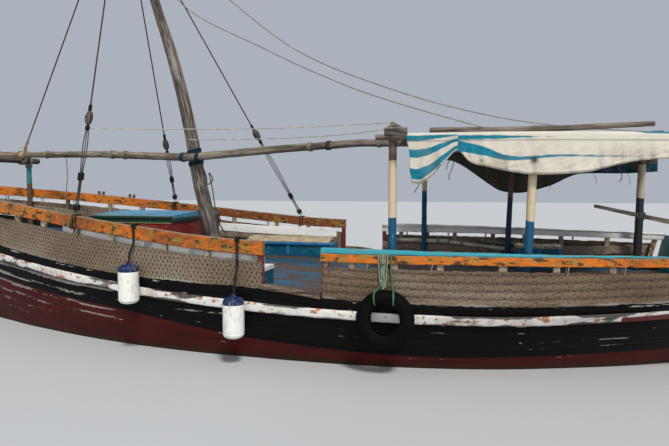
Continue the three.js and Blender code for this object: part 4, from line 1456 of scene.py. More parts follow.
@dataclass
class Mats:
    """Woven mats laced outside the stanchions."""

    inner: float = 0.0205
    thick: float = 0.011
    cell: float = 0.016
    fore_drop: float = 0.215  # from the rail's top down to the fore mats' tops
    aft_top: float = 1.11

    def hang(self, side: Side, deck: str, start: float, end: float, top: Any, finish: Finish) -> None:
        """One mat: a sheet from under the rail to the sheer, bulging between its lacings.

        The cloth's distance from the side is a sum of slow ripples and the plait's relief; its edges wander.

        Args:
            side: the side of the boat.
            deck: fore or aft.
            start: its after end.
            end: its fore end.
            top: gives the height of its top at stations.
            finish: its finish.
        """
        rng = seeded(f"mat{deck}{side.word}")
        s = run(start, end, self.cell)
        high = top(s) - np.abs(line_ripple(rng, s, 0.35, 0.005)) - 0.004 * np.abs(np.sin(s * 17))
        low = LINES.sheer(s) + 0.006 + np.abs(line_ripple(rng, s, 0.12, 0.004))
        t = np.linspace(0, 1, 26)
        z = low[:, None] + (high - low)[:, None] * t
        height = z - low[:, None]
        flat = spread(s[:, None], z)
        aft = deck == "aft"
        rows = 0.0022 * np.sin(math.pi * (height % PLAIT) / PLAIT)
        relief = rows if aft else 0.0015 * ripple(rng, flat, 0.09, 1.0)
        out = np.clip(ripple(rng, flat, 0.5, 0.0035) + relief, -0.006, 0.006)
        y = LINES.half(s)[:, None] - self.inner + 0.0065 + out
        along = length_along(LINES.place(s, LINES.half(s), high))
        pale = bump(t, 0.03, 0.04)[None] * (line_ripple(rng, s, 0.9, 0.6)[:, None] + 0.3)
        # tone: painted shade along the mat's top edge, under the rail
        shape = Shape().grid(LINES.place(s[:, None], y * side.value, z),
            uv=spread(along[:, None], height), wear=np.clip(pale, 0, 1), tone=bump(t, 1.0, 0.03)[None] * 0.3)
        piece = shape.make(f"mat_{deck}_cloth_{side.word}",
            finish, "woven_mat", replaces=[f"mat_{deck}_{side.word}"], closed=False)
        thicken(piece, self.thick)
        float((high - low).mean())
        float(along[-1])
        f"{deck}_rail_{side.word}"

    def build(self) -> None:
        """Four mats."""
        for side in Side:
            self.hang(side, "fore", -1.275, 5.4, lambda s: rail_top(s) - self.fore_drop, MAT_FORE)
            self.hang(side, "aft", -5.79, -1.945, lambda s: np.full(s.shape, self.aft_top), MAT_AFT)


def thicken(piece: bpy.types.Object, thick: float, shaded_back: bool = False) -> None:
    """Gives a sheet its thickness to both sides; when asked, one face takes the second finish, so that the
    other can carry a painted-shade copy of it.
    """
    solid = piece.modifiers.new("thickness", "SOLIDIFY")
    solid.thickness, solid.offset, solid.material_offset = thick, 0.0, int(shaded_back)


# Logs and ropes
def timber_log(shape: Shape, rows: Any, name: str, sides: int = 20,
        slants: Point = (0, 0), knots: float = 1.2, rough: float = 0.03, **values: Any) -> Shape:
    """Adds a natural log: a tapering tube with slow lumps and knots.

    A ring's radius is the log's own, times 1 + lumps, plus a bell at each knot. Near an end that is cut
    aslant each point moves along the log by slant * radius * sin(angle).

    Args:
        shape: takes the log.
        rows: x, y, z and radius along it.
        name: seeds its lumps.
        sides: points round it.
        slants: slope of the cut at the start and at the end, in radii.
        knots: knots for each metre.
        rough: height of the lumps, as a share of the radius.
        values: as in Shape.grid.
    Returns:
        The shape.
    """
    rng = seeded(name)
    rows = np.asarray(rows, float)
    total = length_along(rows[:, :3])[-1]
    line = curve(rows, max(int(total / LOG_STEP), 6))
    path, radius = line[:, :3], line[:, 3:]
    along, side, up = frames(path, (0, 0, 1) if abs(unit(path[-1] - path[0])[2]) < 0.7 else UPRIGHT_REF)
    angle = np.arange(sides) * TURN / sides
    ring = side[:, None] * np.cos(angle)[:, None] + up[:, None] * np.sin(angle)[:, None]
    surface = path[:, None] + ring * radius[..., None]
    r = radius * (1 + ripple(rng, surface, 0.4, rough) + ripple(rng, surface, 0.1, rough * 0.4))
    reach = length_along(path)
    for _ in range(int(knots * total)):
        where, turn = rng.uniform(0.1, total - 0.1), rng.uniform(0, TURN)
        off = np.abs((angle - turn + math.pi) % TURN - math.pi)
        r = r + radius * 0.16 * bump(reach, where, 0.035)[:, None] * bump(off, 0, 0.5)
    points = path[:, None] + ring * r[..., None]
    for end, slant in zip((0.0, total), slants):
        near = 1 - ease(np.abs(reach - end), 0, 4 * abs(slant) * radius.mean() + 1e-6)
        points = points + along[:, None] * (slant * radius * np.sin(angle) * near[:, None])[..., None]
    return shape.tube(points, **values)


def node_log(node: str, axis: int,
        name: str, finish: Finish, slot: str = "weathered_timber", gap: float = 0.3, **values: Any) -> None:
    """A natural log in place of a node's own.

    Args:
        node: the node, which also seeds the log's lumps.
        axis: as in read_rings.
        name: the piece's name.
        finish: its finish.
        slot: its slot.
        gap: as in read_rings.
        values: as in timber_log.
    """
    seed = node.replace("_", " ") if node in ("crutch_bar", "roof_pole") else node
    shape = timber_log(Shape(), read_rings(node, axis, gap), seed, **values)
    shape.make(name, finish, slot, replaces=[node])


def rope(shape: Shape, path: Any,
        radius: float, count: int | None = None, pitch: float = 7.0, sides: int = 9, **values: Any) -> None:
    """Adds a laid rope: its radius is largest along three strands that wind round it.

    Args:
        shape: takes the rope.
        path: a few points that it passes through.
        radius: its outer radius.
        count: rings along it; worked out from the pitch if left out.
        pitch: length of one turn of the lay, in radii.
        sides: points round it.
        values: as in Shape.grid.
    """
    points = np.asarray(path, float)
    total = length_along(points)[-1]
    line = curve(points, count or int(np.clip(total / (pitch * radius) * 6, 6, 900)))
    lay = length_along(line)[:, None] / (pitch * radius)
    angle = np.arange(sides) * TURN / sides
    r = radius * (0.86 + 0.14 * np.abs(np.sin(STRANDS / 2 * (angle + TURN * lay))))
    surface = sweep(line, r[..., None] * circle(1, sides))
    shape.tube(surface, uv=spread(np.arange(sides + 1) / sides, lay), **values)


def lashing(shape: Shape, centre: Point, along: Point,
        radius: float, width: float, rope_r: float = 0.008, flat: float = 1.0, part: int = 0) -> None:
    """Adds turns of rope round a log.

    Args:
        shape: takes the rope.
        centre: the middle of the lashing.
        along: the log's direction.
        radius: the log's radius.
        width: how far the turns spread along it.
        rope_r: the rope's radius.
        flat: squeezes the turns across the log's own up.
        part: as in Shape.grid.
    """
    turns = max(width / (2.1 * rope_r), 1.5)
    t = np.linspace(0, 1, int(turns * 18))[:, None]
    axis = unit(np.asarray(along, float))
    side = unit(np.cross(np.eye(3)[np.abs(axis).argmin()], axis))
    r = (radius + rope_r * 0.9) * (1 + 0.02 * np.sin(t * 37 + width * 91))
    angle = TURN * turns * t
    line = np.asarray(centre, float) + axis * (width * (t - 0.5)) + side * r * np.cos(angle)
    line = line + np.cross(axis, side) * r * flat * np.sin(angle)
    rope(shape, line, rope_r, count=len(t), sides=7, part=part)


def block(shape: Shape, centre: Array, along: Array, size: float, part: int) -> None:
    """Adds a wooden block: an egg-shaped shell with a slot round it and a pin across.

    Args:
        shape: takes the block.
        centre: its middle.
        along: direction of its length.
        size: half of its length.
        part: as in Shape.grid.
    """
    axis = unit(along)
    side = unit(np.cross((0.3, 1.0, 0.0), axis))
    up = np.cross(axis, side)
    t = np.linspace(0.02, math.pi - 0.02, 15)[:, None, None]
    angle = (np.arange(20) * TURN / 20)[:, None]
    slot = 1 - 0.16 * bump(np.sin(angle), 0, 0.25)
    shell = side * np.cos(angle) * slot * 0.62 + up * np.sin(angle) * 0.42
    shape.tube(centre + (shell * np.sin(t) - axis * np.cos(t)) * size, part=part)
    pin = centre + up * np.array([[-0.5], [0.5]]) * size
    shape.tube(sweep(pin, circle(size * 0.12, 10)), part=part, tone=1.0)


@dataclass
class Trunk:
    """The box on the foredeck: coamings, corner posts and two boarded leaves."""

    aft: float = 0.5
    fore: float = 1.7
    half: float = 0.75
    top: float = 1.5
    board: float = 0.118
    foot: float = 0.925  # lower end of the battens

    def leaf(self, side: Side) -> None:
        """One leaf: pale boards along its slope, and a yellowed line and a dark board along its hinge.

        Args:
            side: the side of the boat.
        """
        node = f"trunk_lid_{side.word}"
        low, high = corners(node)
        outer = abs(high[1] if side is Side.PORT else low[1])
        rng = seeded(node)
        shape = Shape()
        x = np.linspace(low[0] + 0.004, high[0] - 0.004, 14)[:, None]
        starts = np.r_[np.arange(0.003, outer - 0.12, self.board), outer - 0.094, outer - 0.074]
        for a, b in zip(starts, np.r_[starts[1:] - 0.003, outer]):
            y = np.array([a, b, b, b - 0.004, (a + b) / 2, a + 0.004, a])
            slope = 0.0705 - 0.045 * (np.array([b, b, (a + b) / 2, a, a]) / outer) ** 1.3
            z = low[2] + np.r_[0, 0, slope - (0.005, 0.001, 0, 0.001, 0.005)]
            points = spread(x, y * side.value, z)
            points[..., 2] += ripple(rng, points, 0.5, 0.0006) * (z > low[2] + 0.002)
            shape.tube(points, tone=rng.uniform(0, 0.4),
                wear=rng.uniform(-0.2, 0.25), part=int(a > outer - 0.1) + int(a > outer - 0.08))
        shape.make(f"trunk_boards_{side.word}", [PALE_BLUE, YELLOWED, DARK_GREEN],
            "pale_blue_paint", body=f"trunk_leaf_{side.word}", replaces=[node])

    def trim(self) -> None:
        """The coaming's moulding, worn yellow along its edge, and battens down its sides."""
        dress("trunk_box", MAROON)
        shape = Shape()
        x = np.linspace(self.aft - 0.002, self.fore + 0.018, 12)
        for side in Side:
            y = (self.half + 0.009) * side.value
            for drop, part, tall in ((0.03, 0, 0.052), (0.066, 1, 0.012)):
                shape.bar(spread(x, y, self.top - drop), 0.018, tall, rough=0.001, part=part)
            for at in (self.aft + 0.03, 1.1, self.fore - 0.03):
                shape.bar(spread(at, y, np.linspace(self.foot, self.top - 0.075, 8)),
                    0.016, 0.05, UPRIGHT_REF, rough=0.0008, part=2)
        for at in (self.aft - 0.0105, self.fore + 0.0105):
            shape.bar(spread(at, np.linspace(-self.half, self.half, 12), self.top - 0.03),
                0.018, 0.052, rough=0.001)
        shape.make("trunk_coaming", [DARK_GREEN, YELLOWED, MAROON_EDGE], "maroon_paint")

    def build(self) -> None:
        """Box and leaves."""
        self.trim()
        for side in Side:
            self.leaf(side)


@dataclass
class Furniture:
    """Side benches, the canvas thrown over one, and the locker aft."""

    inner: float = 1.425
    outer: float = 1.79
    aft: float = -1.2
    fore: float = 0.35
    seat: float = 0.985
    leg: float = 1.442  # middle of the battens on the legs

    def benches(self) -> None:
        """White boards on the port bench; on both a blue nosing and battens on the legs."""
        x = np.linspace(self.aft, self.fore, 16)
        for side in Side:
            dress(f"bench_{side.word}", BLUE)
            shape = Shape()
            boards = ((self.inner, 1.545), (1.549, 1.668), (1.672, self.outer))
            for a, b in boards if side is Side.PORT else ():
                path = spread(x, (a + b) / 2, self.seat + 0.0235)
                shape.bar(path, b - a, 0.045, rough=0.0006, cut=0.003, wear=0.1)
            y = (self.inner - 0.008) * side.value
            shape.bar(spread(x, y, self.seat - 0.01), 0.014, 0.04, part=1, rough=0.0006)
            for at in (self.aft + 0.04, -0.42, self.fore - 0.04):
                path = spread(at, self.leg * side.value, np.linspace(0.79, 0.95, 6))
                shape.bar(path, 0.014, 0.05, UPRIGHT_REF, part=1)
            shape.make(f"bench_boards_{side.word}", [WHITE, BLUE_EDGE], "navy_paint")

    def canvas(self) -> None:
        """A crumpled canvas laid over the starboard bench, its inboard edge hanging over.

        Height is the seat, plus folds that run across the bench as a ridged sum of sines whose phase wanders,
        plus small crumples; the inboard edge falls in a quarter circle.
        """
        low, high = corners("canvas_cover")
        rng = seeded("canvas")
        x = np.linspace(low[0], high[0], 210)[:, None]
        t = np.linspace(0, 1, 64)[None]
        flat = spread(x, t * 0.4)
        wander = ripple(rng, flat, 0.6, 0.8)
        folds = (1 - np.abs(np.sin(x * 5 + wander * 1.6 + t * 3.0))) ** 2.2 * 0.03
        folds = (folds + (1 - np.abs(np.sin(x * 11 - wander * 2 + t * 6.0))) ** 3 * 0.012) * ease(t, 0, 0.35)
        crumple = np.abs(ripple(rng, flat, 0.35, 0.0025))
        drop = ease(t, 0.8, 1.0)
        y = low[1] + 0.004 + (high[1] - low[1] - 0.006) * np.minimum(t * 1.12, 1.0) + drop * folds * 0.5
        z = low[2] + 0.012 + (folds + crumple) * (1 - drop) + 0.075 * (1 - t) ** 1.5
        x = x + np.abs(line_ripple(rng, t[0], 0.3, 0.02)) * (1 - ease(x, low[0], low[0] + 0.2))
        # tone: painted shade in the hollows between the folds
        shape = Shape().grid(spread(x, y, z), line=-1.0, tone=np.clip(0.4 - folds * 30, 0, 0.25))
        piece = shape.make("bench_canvas", OLD_CANVAS, "canvas", replaces=["canvas_cover"], closed=False)
        thicken(piece, CLOTH_THICK)

    def locker(self) -> None:
        """Battens on the locker; a boarded lid with a rope handle that rides with it."""
        dress("locker", BLUE)
        low, high = corners("locker")
        shape = Shape()
        z = np.linspace(low[2] + 0.04, high[2] - 0.01, 6)
        for y in (low[1] - 0.0075, high[1] + 0.0075):
            for x in (low[0] + 0.03, (low[0] + high[0]) / 2, high[0] - 0.03):
                shape.bar(spread(x, y, z), 0.014, 0.05, UPRIGHT_REF, rough=0.0006)
        shape.make("locker_battens", BLUE_EDGE, "navy_paint")
        low, high = corners("locker_lid")
        middle, (_, wide, thick) = (low + high) / 2, high - low
        shape = Shape()
        for k in range(4):
            path = spread(np.linspace(low[0], high[0], 10), low[1] + wide * (k + 0.5) / 4, middle[2])
            shape.bar(path, wide / 4 - 0.003, thick, rough=0.0004, wear=0.1 * k)
        for x in (low[0] + 0.06, high[0] - 0.06):
            shape.bar(spread(x, np.linspace(low[1] + 0.012, high[1] - 0.01, 6), high[2] + 0.007),
                0.05, 0.013)
        turn = np.linspace(0, math.pi, 12)
        handle = spread(middle[0] + 0.05 * np.cos(turn), high[1] - 0.05, high[2] + 0.035 * np.sin(turn))
        rope(shape, handle, 0.006, part=1)
        shape.make("locker_lid_boards",
            [CREAM, HEMP], "cream_paint", body="locker_top", replaces=["locker_lid"])

    def far_poles(self) -> None:
        """Spare poles lashed inside the starboard quarter's planks."""
        shape = Shape()
        poles = ((-2.05, -3.05, 1.03, 1.02, 0.034),
            (-3.07, -4.25, 1.01, 0.9, 0.03), (-3.45, -4.3, 1.07, 0.98, 0.026))
        for part, (start, end, z0, z1, r) in enumerate(poles):
            s = np.linspace(start, end, 7)
            path = LINES.place(s, 0.0965 + r * 1.08 - LINES.half(s), np.linspace(z0, z1, 7))
            rows = np.c_[path, np.full(7, r)]
            timber_log(shape, rows, f"quarter pole {part}", part=part)
            for k in (1, 5):
                lashing(shape, rows[k, :3], rows[k + 1, :3] - rows[k, :3], r, 0.05, 0.006, part=3)
        shape.make("quarter_poles", [CREAM_BARE, CREAM_BARE, GREY, HEMP], "weathered_timber")

    def build(self) -> None:
        """Benches, canvas, locker, poles."""
        self.benches()
        self.canvas()
        self.locker()
        self.far_poles()


@dataclass
class Spars:
    """Mast, yard, their lashings, and the crutch that carries the yard."""

    yard: Table = ((6.15, -1.08, 2.52, 0.04), (4.05, -0.6, 2.462, 0.05),
        (2.25, -0.24, 2.432, 0.053), (0.517, 0.1545, 2.345, 0.056), (-0.9, 0.35, 2.432, 0.052),
        (-2.05, 0.56, 2.478, 0.046), (-2.65, 0.64, 2.4615, 0.043), (-3.25, 0.72, 2.459, 0.04))
    joints: tuple[float, float] = (1.9, -1.5)
    scarf: float = 5.0
    crutch_x: float = 4.05
    crutch_half: float = 0.745

    def yard_at(self, x: Any) -> Array:
        """Place and radius of the yard where it passes x."""
        rows = np.array(self.yard)[::-1]
        return spread(*(np.interp(x, rows[:, 0], column) for column in rows.T))

    def poles(self) -> None:
        """The yard's three poles, with their slanted scarfs."""
        ends, cuts = (self.yard[0][0], *self.joints, self.yard[-1][0]), (0, self.scarf, self.scarf, 0)
        for k, (name, finish) in enumerate((("fore", PALE), ("middle", PALE), ("aft", BARE))):
            rows = self.yard_at(np.linspace(ends[k], ends[k + 1], 40))
            rows[0, 0] -= 0.0012 * (k > 0)
            shape = timber_log(Shape(), rows, f"yard {name}", slants=cuts[k:k + 2], rough=0.02, tone=0.1)
            shape.make(f"yard_pole_{name}", finish, "weathered_timber", replaces=[f"yard_{name}"])

    def uprights(self) -> None:
        """The mast, a long-checked grey log, and the crutch's two painted posts and dark crossbar."""
        node_log("mast", 2, "mast_log", GREY, sides=30, knots=1.6, rough=0.022)
        dress("mast_chock", DARK)
        paint = Banded("crutch_post", ((0.0, (0.11, 0.062, 0.038)), (1.98, (0.03, 0.21, 0.21))))
        for side in Side:
            node_log(f"crutch_post_{side.word}",
                2, f"crutch_upright_{side.word}", paint, "teal_paint", knots=1, rough=0.02)
        node_log("crutch_bar", 1, "crutch_beam", DARK, "dark_timber")

    def wraps(self) -> None:
        """Lashings: the scarfs, the crutch, the crossing with the mast and the masthead."""
        shape = Shape()
        for x, wide, part in ((2.02, 0.05, 1),
                (1.76, 0.05, 1), (-1.36, 0.05, 1), (-1.62, 0.06, 3), (3.45, 0.04, 1),
                (4.62, 0.05, 1), (5.5, 0.04, 1), (0.64, 0.07, 2), (0.38, 0.06, 2), (-2.3, 0.05, 1)):
            *where, r = self.yard_at(x)
            ahead = self.yard_at(x + 0.1) - self.yard_at(x - 0.1)
            lashing(shape, where, ahead[:3], r, wide, 0.007, part=part)
        mast = read_rings("mast", 2)
        for z, wide in ((6.2, 0.16), (5.95, 0.07), (4.9, 0.05), (2.44, 0.05), (2.27, 0.06)):
            x, y, r = (np.interp(z, mast[:, 2], mast[:, k]) for k in (0, 1, 3))
            lashing(shape, (x, y, z), (0.27, 0, 0.96), r * 1.03, wide, part=3 if z > 3 else 2)
        bar = read_rings("crutch_bar", 1)[0, 2]
        _, y, z, _ = self.yard_at(self.crutch_x)
        t = np.linspace(0, TURN * 4, 90)
        cross = spread(0.066 * np.cos(t), 0.05 * np.sin(t) * np.cos(t / 8), 0.112 * np.sin(t))
        rope(shape, cross + (self.crutch_x, y, (z + bar) / 2), 0.009, count=360, part=1)
        for side in Side:
            y = side.value * self.crutch_half
            lashing(shape, (self.crutch_x, y, bar - 0.09), (0, 0, 1), 0.043, 0.05, part=1)
            lashing(shape, (self.crutch_x, y, bar), (0, 1, 0), 0.05, 0.07, part=1)
        shape.make("spar_lashings", [TAN, HEMP, BLUE_ROPE, TARRED], "rope")

    def build(self) -> None:
        """All spars."""
        self.poles()
        self.uprights()
        self.wraps()


@dataclass
class Awning:
    """Posts, crossbeams, poles, the striped cloth with its skirts, and what lies on the roof."""

    front: float = -2.735
    back: float = -5.985
    gather: float = -3.296  # where the near skirt is gathered up
    near_hem: Table = ((-2.735, 1.97), (-2.845, 1.965), (-2.996, 2.04), (-3.18, 2.19),
        (-3.296, 2.285), (-3.42, 2.17), (-3.63, 2.115), (-3.81, 2.075), (-4.02, 2.05), (-4.27, 2.055),
        (-4.52, 2.075), (-4.77, 2.137), (-4.98, 2.18), (-5.2, 2.2), (-5.6, 2.225), (-5.985, 2.24))
    far_hem: Table = ((-2.735, 2.35), (-2.95, 2.36), (-3.1, 2.34),
        (-3.28, 2.25), (-3.49, 2.1), (-3.7, 1.95), (-3.84, 1.865), (-4.04, 1.825), (-4.24, 1.835),
        (-4.43, 1.885), (-4.63, 1.955), (-4.85, 2.07), (-5.01, 2.12), (-5.6, 2.12), (-5.985, 2.14))
    second: Table = ((-3.3, 0.145, 0.05), (-3.51, 0.19, 0.045),
        (-3.8, 0.27, 0.022), (-4.25, 0.245, 0.01), (-4.66, 0.25, 0.006), (-5.2, 0.25, 0.0))
    strings: Table = ((-3.24, 1.93, 2.3, 0.3),
        (-3.21, 1.92, 2.32, 0.22), (-4.78, 1.9, 2.14, 0.16), (-4.6, -1.86, 2.1, 0.22),
        (-5.25, -1.8, 2.12, 0.14), (-5.7, -1.72, 2.24, 0.28), (-2.9, 1.93, 1.99, 0.12))

    def posts(self) -> None:
        """Six posts, each pair in its own bands of paint."""
        cream, blue = (0.6, 0.49, 0.32), (0.002, 0.075, 0.165)
        bark, brown, black = (0.13, 0.09, 0.06), (0.17, 0.1, 0.06), (0.02, 0.02, 0.025)
        for place, *paint in (("fore_port", (0, blue), (1.62, cream), (2.2, bark)),
                ("fore_starboard", (0, blue), (1.86, cream), (2.38, bark)),
                ("middle_port", (0, blue), (1.6, cream)),
                ("middle_starboard", (0, (0.014, 0.045, 0.1)), (1.75, brown)),
                ("aft_port", (0, blue), (1.65, cream)),
                ("aft_starboard", (0, black), (1.76, (0.47, 0.4, 0.29)), (2.24, bark))):
            node_log(f"awning_post_{place}", 2, f"awning_upright_{place}",
                Banded(f"post_{place}", tuple(paint)), "cream_paint", sides=18, knots=2, rough=0.018)

    def beams(self) -> None:
        """Three bent crossbeams, the pole along each side and the one on the roof."""
        for pair in PAIRS:
            node_log(f"crossbeam_{pair}",
                1, f"awning_beam_{pair}", PALE if pair == "fore" else BARE, sides=16, rough=0.016, knots=1)
        for side in Side:
            node_log(f"awning_pole_{side.word}",
                0, f"awning_rail_{side.word}", BARE, gap=0.08, sides=16, rough=0.006, knots=0)
        node_log("roof_pole", 0, "spare_pole", BARE, knots=2, tone=0.25)

    def cloth(self) -> None:
        """The awning: one cloth from hem to hem over both poles and the roof.

        Across the boat the sheet is laid out by arc length: down skirt, round the pole, roof, pole, skirt.
        The roof rises to the beams' crown, sags between the beams as sin squared and carries wrinkles that
        fan from the poles. A skirt's folds are sines along the boat that grow towards the hem and crowd at
        the gather.
        """
        rng = seeded("awning")
        x = np.linspace(self.front, self.back, 170)[:, None]
        pole = curve(read_rings("awning_pole_port", 0, 0.08), 200)
        line = np.interp(x, pole[:, 0], pole[:, 1])
        pole_z, pole_r = float(pole[:, 2].mean()), float(pole[:, 3].max())
        hems = [smooth(*np.array(hem)[::-1].T, x) for hem in (self.near_hem, self.far_hem)]
        bend = pole_r + 0.0045
        down, over = np.linspace(1, 0, 44), np.linspace(1, -1, 100)
        turn = np.linspace(0, math.pi / 2, 8)[1:-1]
        halves = []
        for side, hem in zip(Side, hems):
            z = pole_z - (pole_z - hem) * down
            gather = bump(x, self.gather, 0.13) * (side is Side.PORT)
            phase = line_ripple(rng, x[:, 0], 0.7, 1.2)[:, None]
            folds = np.sin(x * 15 + phase * 2 + down * 0.8) * 0.03 * down ** 1.3
            folds = folds + np.sin(x * 43 - phase * 2 + down * 2.0) * 0.007 * down
            folds = folds + np.sin(x * 60) * 0.018 * gather * np.sin(down * math.pi) - 0.05 * gather * down
            folds = folds + ripple(rng, spread(x, down * 0.5), 0.12, 0.004) * down + 0.012 * down
            skirt = spread(np.maximum(line + bend + folds, line + bend * 0.7) * side.value, z)
            corner = spread((line + bend * np.cos(turn)) * side.value, pole_z + bend * np.sin(turn))
            halves.append(np.concatenate([skirt, corner], 1))
        top = pole_z + bend
        crown = corners("awning_cloth")[1][2] - 0.013
        beams = [read_rings(f"crossbeam_{pair}", 1)[1, 0] for pair in PAIRS]
        slack = np.sin(math.pi * np.interp(x, beams[::-1], [2.0, 1.0, 0.0])) ** 2
        flat = spread(x, line * over)
        creases = ripple(rng, flat, 0.55, 0.01) + ripple(rng, flat * (1, 2.2), 0.22, 0.0035)
        creases = creases + np.sin(x * 24 + np.abs(over) * 5) * 0.007 * np.abs(over) ** 3
        roof = top + (crown - top + 0.01) * (1 - np.abs(over)) ** 0.92
        roof = roof - slack * (0.04 * (1 - over ** 2)) + creases * slack * (1 - over ** 6) + 0.004
        across = [halves[0], spread(line * over, roof), halves[1][:, ::-1]]
        y, z = np.concatenate(across, 1).transpose(2, 0, 1)
        points = spread(x, y, z)
        fore = 1 - ease(np.abs(x - x[0]), 0, 0.55)
        pull = 0.055 * (y > 1.5) + 0.06 * np.clip((pole_z - z) / 0.42, 0, 1) * (y > 0)
        points[..., 0] += (ripple(rng, points[..., 1:], 0.5, 0.008) - pull) * fore
        around = length_along(points[len(x) // 2])
        stain = bump(x, -3.6, 0.3) * bump(z, 2.14, 0.06) + bump(x, -4.9, 0.35) * bump(z, 2.25, 0.05)
        tone = bump(x, -4.02, 0.03) * bump(z, 2.19, 0.03) * (y > 0) * 1.2
        # a dark line just under the pole on the near skirt: painted shade
        tone = tone + bump(z, pole_z - 0.045, 0.006) * 0.6 * (y > 0)
        tone[:, [0, 1, 2, -3, -2, -1]] += 0.55
        shape = Shape().grid(points, uv=spread(around, length_along(points[:, 90])[:, None]),
            line=self.stripes(x, y, z, pole_z, *hems),
            wear=np.clip(stain * 0.35 * (y > 1.5), 0, 1), tone=np.clip(tone, 0, 1))
        # one face of the sheet takes the dark copy of the canvas, painted shade for the awning's inside; the
        # other takes the striped canvas
        piece = shape.make("awning_sheet",
            [AWNING_SHADE, STRIPED], "canvas", replaces=["awning_cloth"], closed=False)
        thicken(piece, CLOTH_THICK, shaded_back=True)
        self.front - self.back
        float(around[-1]) + 0.1

    def stripes(self, x: Array, y: Array, z: Array, pole_z: float, near_hem: Array, far_hem: Array) -> Array:
        """How far each point lies inside a teal stripe, in metres; negative on plain cloth.

        Ahead of the gather the skirt has three stripes by their share of its drop; aft of it the second one
        slants down and thins to a line. The far skirt has one along its hem aft, the roof one at each edge.

        Args:
            x: the points' places along the boat.
            y: their places across it.
            z: their heights.
            pole_z: height of the side poles.
            near_hem: height of the port hem at each x.
            far_hem: height of the starboard hem.
        Returns:
            The distances, one a point.
        """
        near = np.maximum(pole_z + 0.03 - near_hem, 0.05)
        drop = pole_z + 0.03 - z
        share = drop / near
        bands = ((0.04, 0.15), (0.32, 0.48), (0.7, 0.92))
        ahead = np.max([np.minimum(share - a, b - share) for a, b in bands], 0)
        at, mid, half = np.array(self.second)[::-1].T
        aft = smooth(at, half, x) - np.abs(drop - smooth(at, mid, x) + 0.02)
        aft = np.maximum(aft, 0.022 - np.abs(drop - 0.045) - 0.03 * ease(-x, 3.3, 4.6))
        near_skirt = np.where(x > -3.3, np.maximum(ahead * near, -1), aft)
        far = 0.055 - np.abs(z - far_hem - 0.06) - 0.2 * ease(x, -5.2, -4.8)
        return np.where(z > pole_z + 0.015,
            0.07 - np.abs(np.abs(y) - 1.55), np.where(y > 0, near_skirt, far))

    def ties(self) -> None:
        """Lashings at the posts, loose strings, and the bolster over the fore beam."""
        shape = Shape()
        t = np.linspace(0, TURN * 4, 80)
        for pair in PAIRS:
            beam = read_rings(f"crossbeam_{pair}", 1)
            for side in Side:
                *top, r = read_rings(f"awning_post_{pair}_{side.word}", 2)[-1]
                z = np.interp(top[1], beam[:, 1], beam[:, 2]) - 0.055
                path = spread(0.052 * np.cos(t),
                    0.05 * np.sin(t), 0.045 * np.cos(2 * t + 0.6)) + (*top[:2], z)
                rope(shape, path, 0.006, count=260, sides=7, part=int(pair != "fore"))
                lashing(shape, (top[0], top[1], top[2] - 0.05), (0, 0, 1), r + 0.003, 0.05, 0.006, part=1)
        t = np.linspace(0, 1, 9)
        for x, y, z, drop in self.strings:
            path = spread(x + 0.02 * np.sin(t * 5 + x), y + 0.012 * np.cos(t * 6), z - drop * t)
            path = path + seeded(f"string{x}").normal(0, 0.002, path.shape)
            rope(shape, path, 0.004, sides=6, part=int(x < -5))
        shape.make("awning_ties", [TARRED, HEMP, PALE_ROPE], "rope")
        shape = Shape()
        beam = read_rings("crossbeam_fore", 1)
        y = np.array([1.94, 1.6, 1.2])
        x, z, r = (np.interp(y, beam[:, 1], beam[:, k]) for k in (0, 2, 3))
        rows = spread(x, y, z + r * 1.04 + 0.026, 0.024)
        timber_log(shape, rows, "bolster log", rough=0.012, knots=0)
        x, y, z, _ = beam[-1]
        shape.bar(spread(np.linspace(x + 0.05, x - 0.17, 5), y + 0.016, z - 0.03),
            0.028, 0.08, rough=0.002, part=1)
        shape.make("awning_bolster", [PALE, GREY], "weathered_timber")

    def build(self) -> None:
        """The whole awning."""
        self.posts()
        self.beams()
        self.cloth()
        self.ties()


@dataclass
class Steering:
    """Finishes and iron of the rudder, and the tiller's lashing."""

    slope: float = 0.22  # how far the sternpost leans aft for each metre up
    foot: float = -6.0806
    cheek: float = 0.041  # from the rudder's middle out to a strap's middle
    tiller: float = 1.4  # its height along the sternpost

    def build(self) -> None:
        """Straps across the blade at the pintles and turns of rope on the tiller; they ride with it."""
        dress("rudder", BOTTOM)
        dress("tiller", BARE_ALONG)
        rake = math.atan(self.slope)
        up = np.array([-math.sin(rake), 0, math.cos(rake)])
        back = np.array([-math.cos(rake), 0, -math.sin(rake)])
        shape = Shape()
        for z, reach in ((-0.72, 0.5), (-0.02, 0.36), (0.64, 0.2)):
            start = (self.foot, 0, 0) + up * z
            for y in (-self.cheek, self.cheek):
                path = start + back * np.linspace(0.045, reach, 8)[:, None] + (0, y, 0)
                shape.bar(path, 0.01, 0.045, up, cut=0.002)
                spike = np.array([[0, y, 0], [0, y * 1.22, 0]])
                for d in np.linspace(0.09, reach - 0.04, 4):
                    shape.tube(sweep(start + back * d + spike, circle(0.009, 8)))
        shape.make("rudder_straps", IRON, "bottom_paint", body="rudder")
        shape = Shape()
        for d in (0.16, 0.95):
            lashing(shape, (self.foot, 0, 0) + up * self.tiller - back * d, -back, 0.04, 0.07, 0.007)
        shape.make("tiller_lashing", HEMP, "rope", body="rudder")


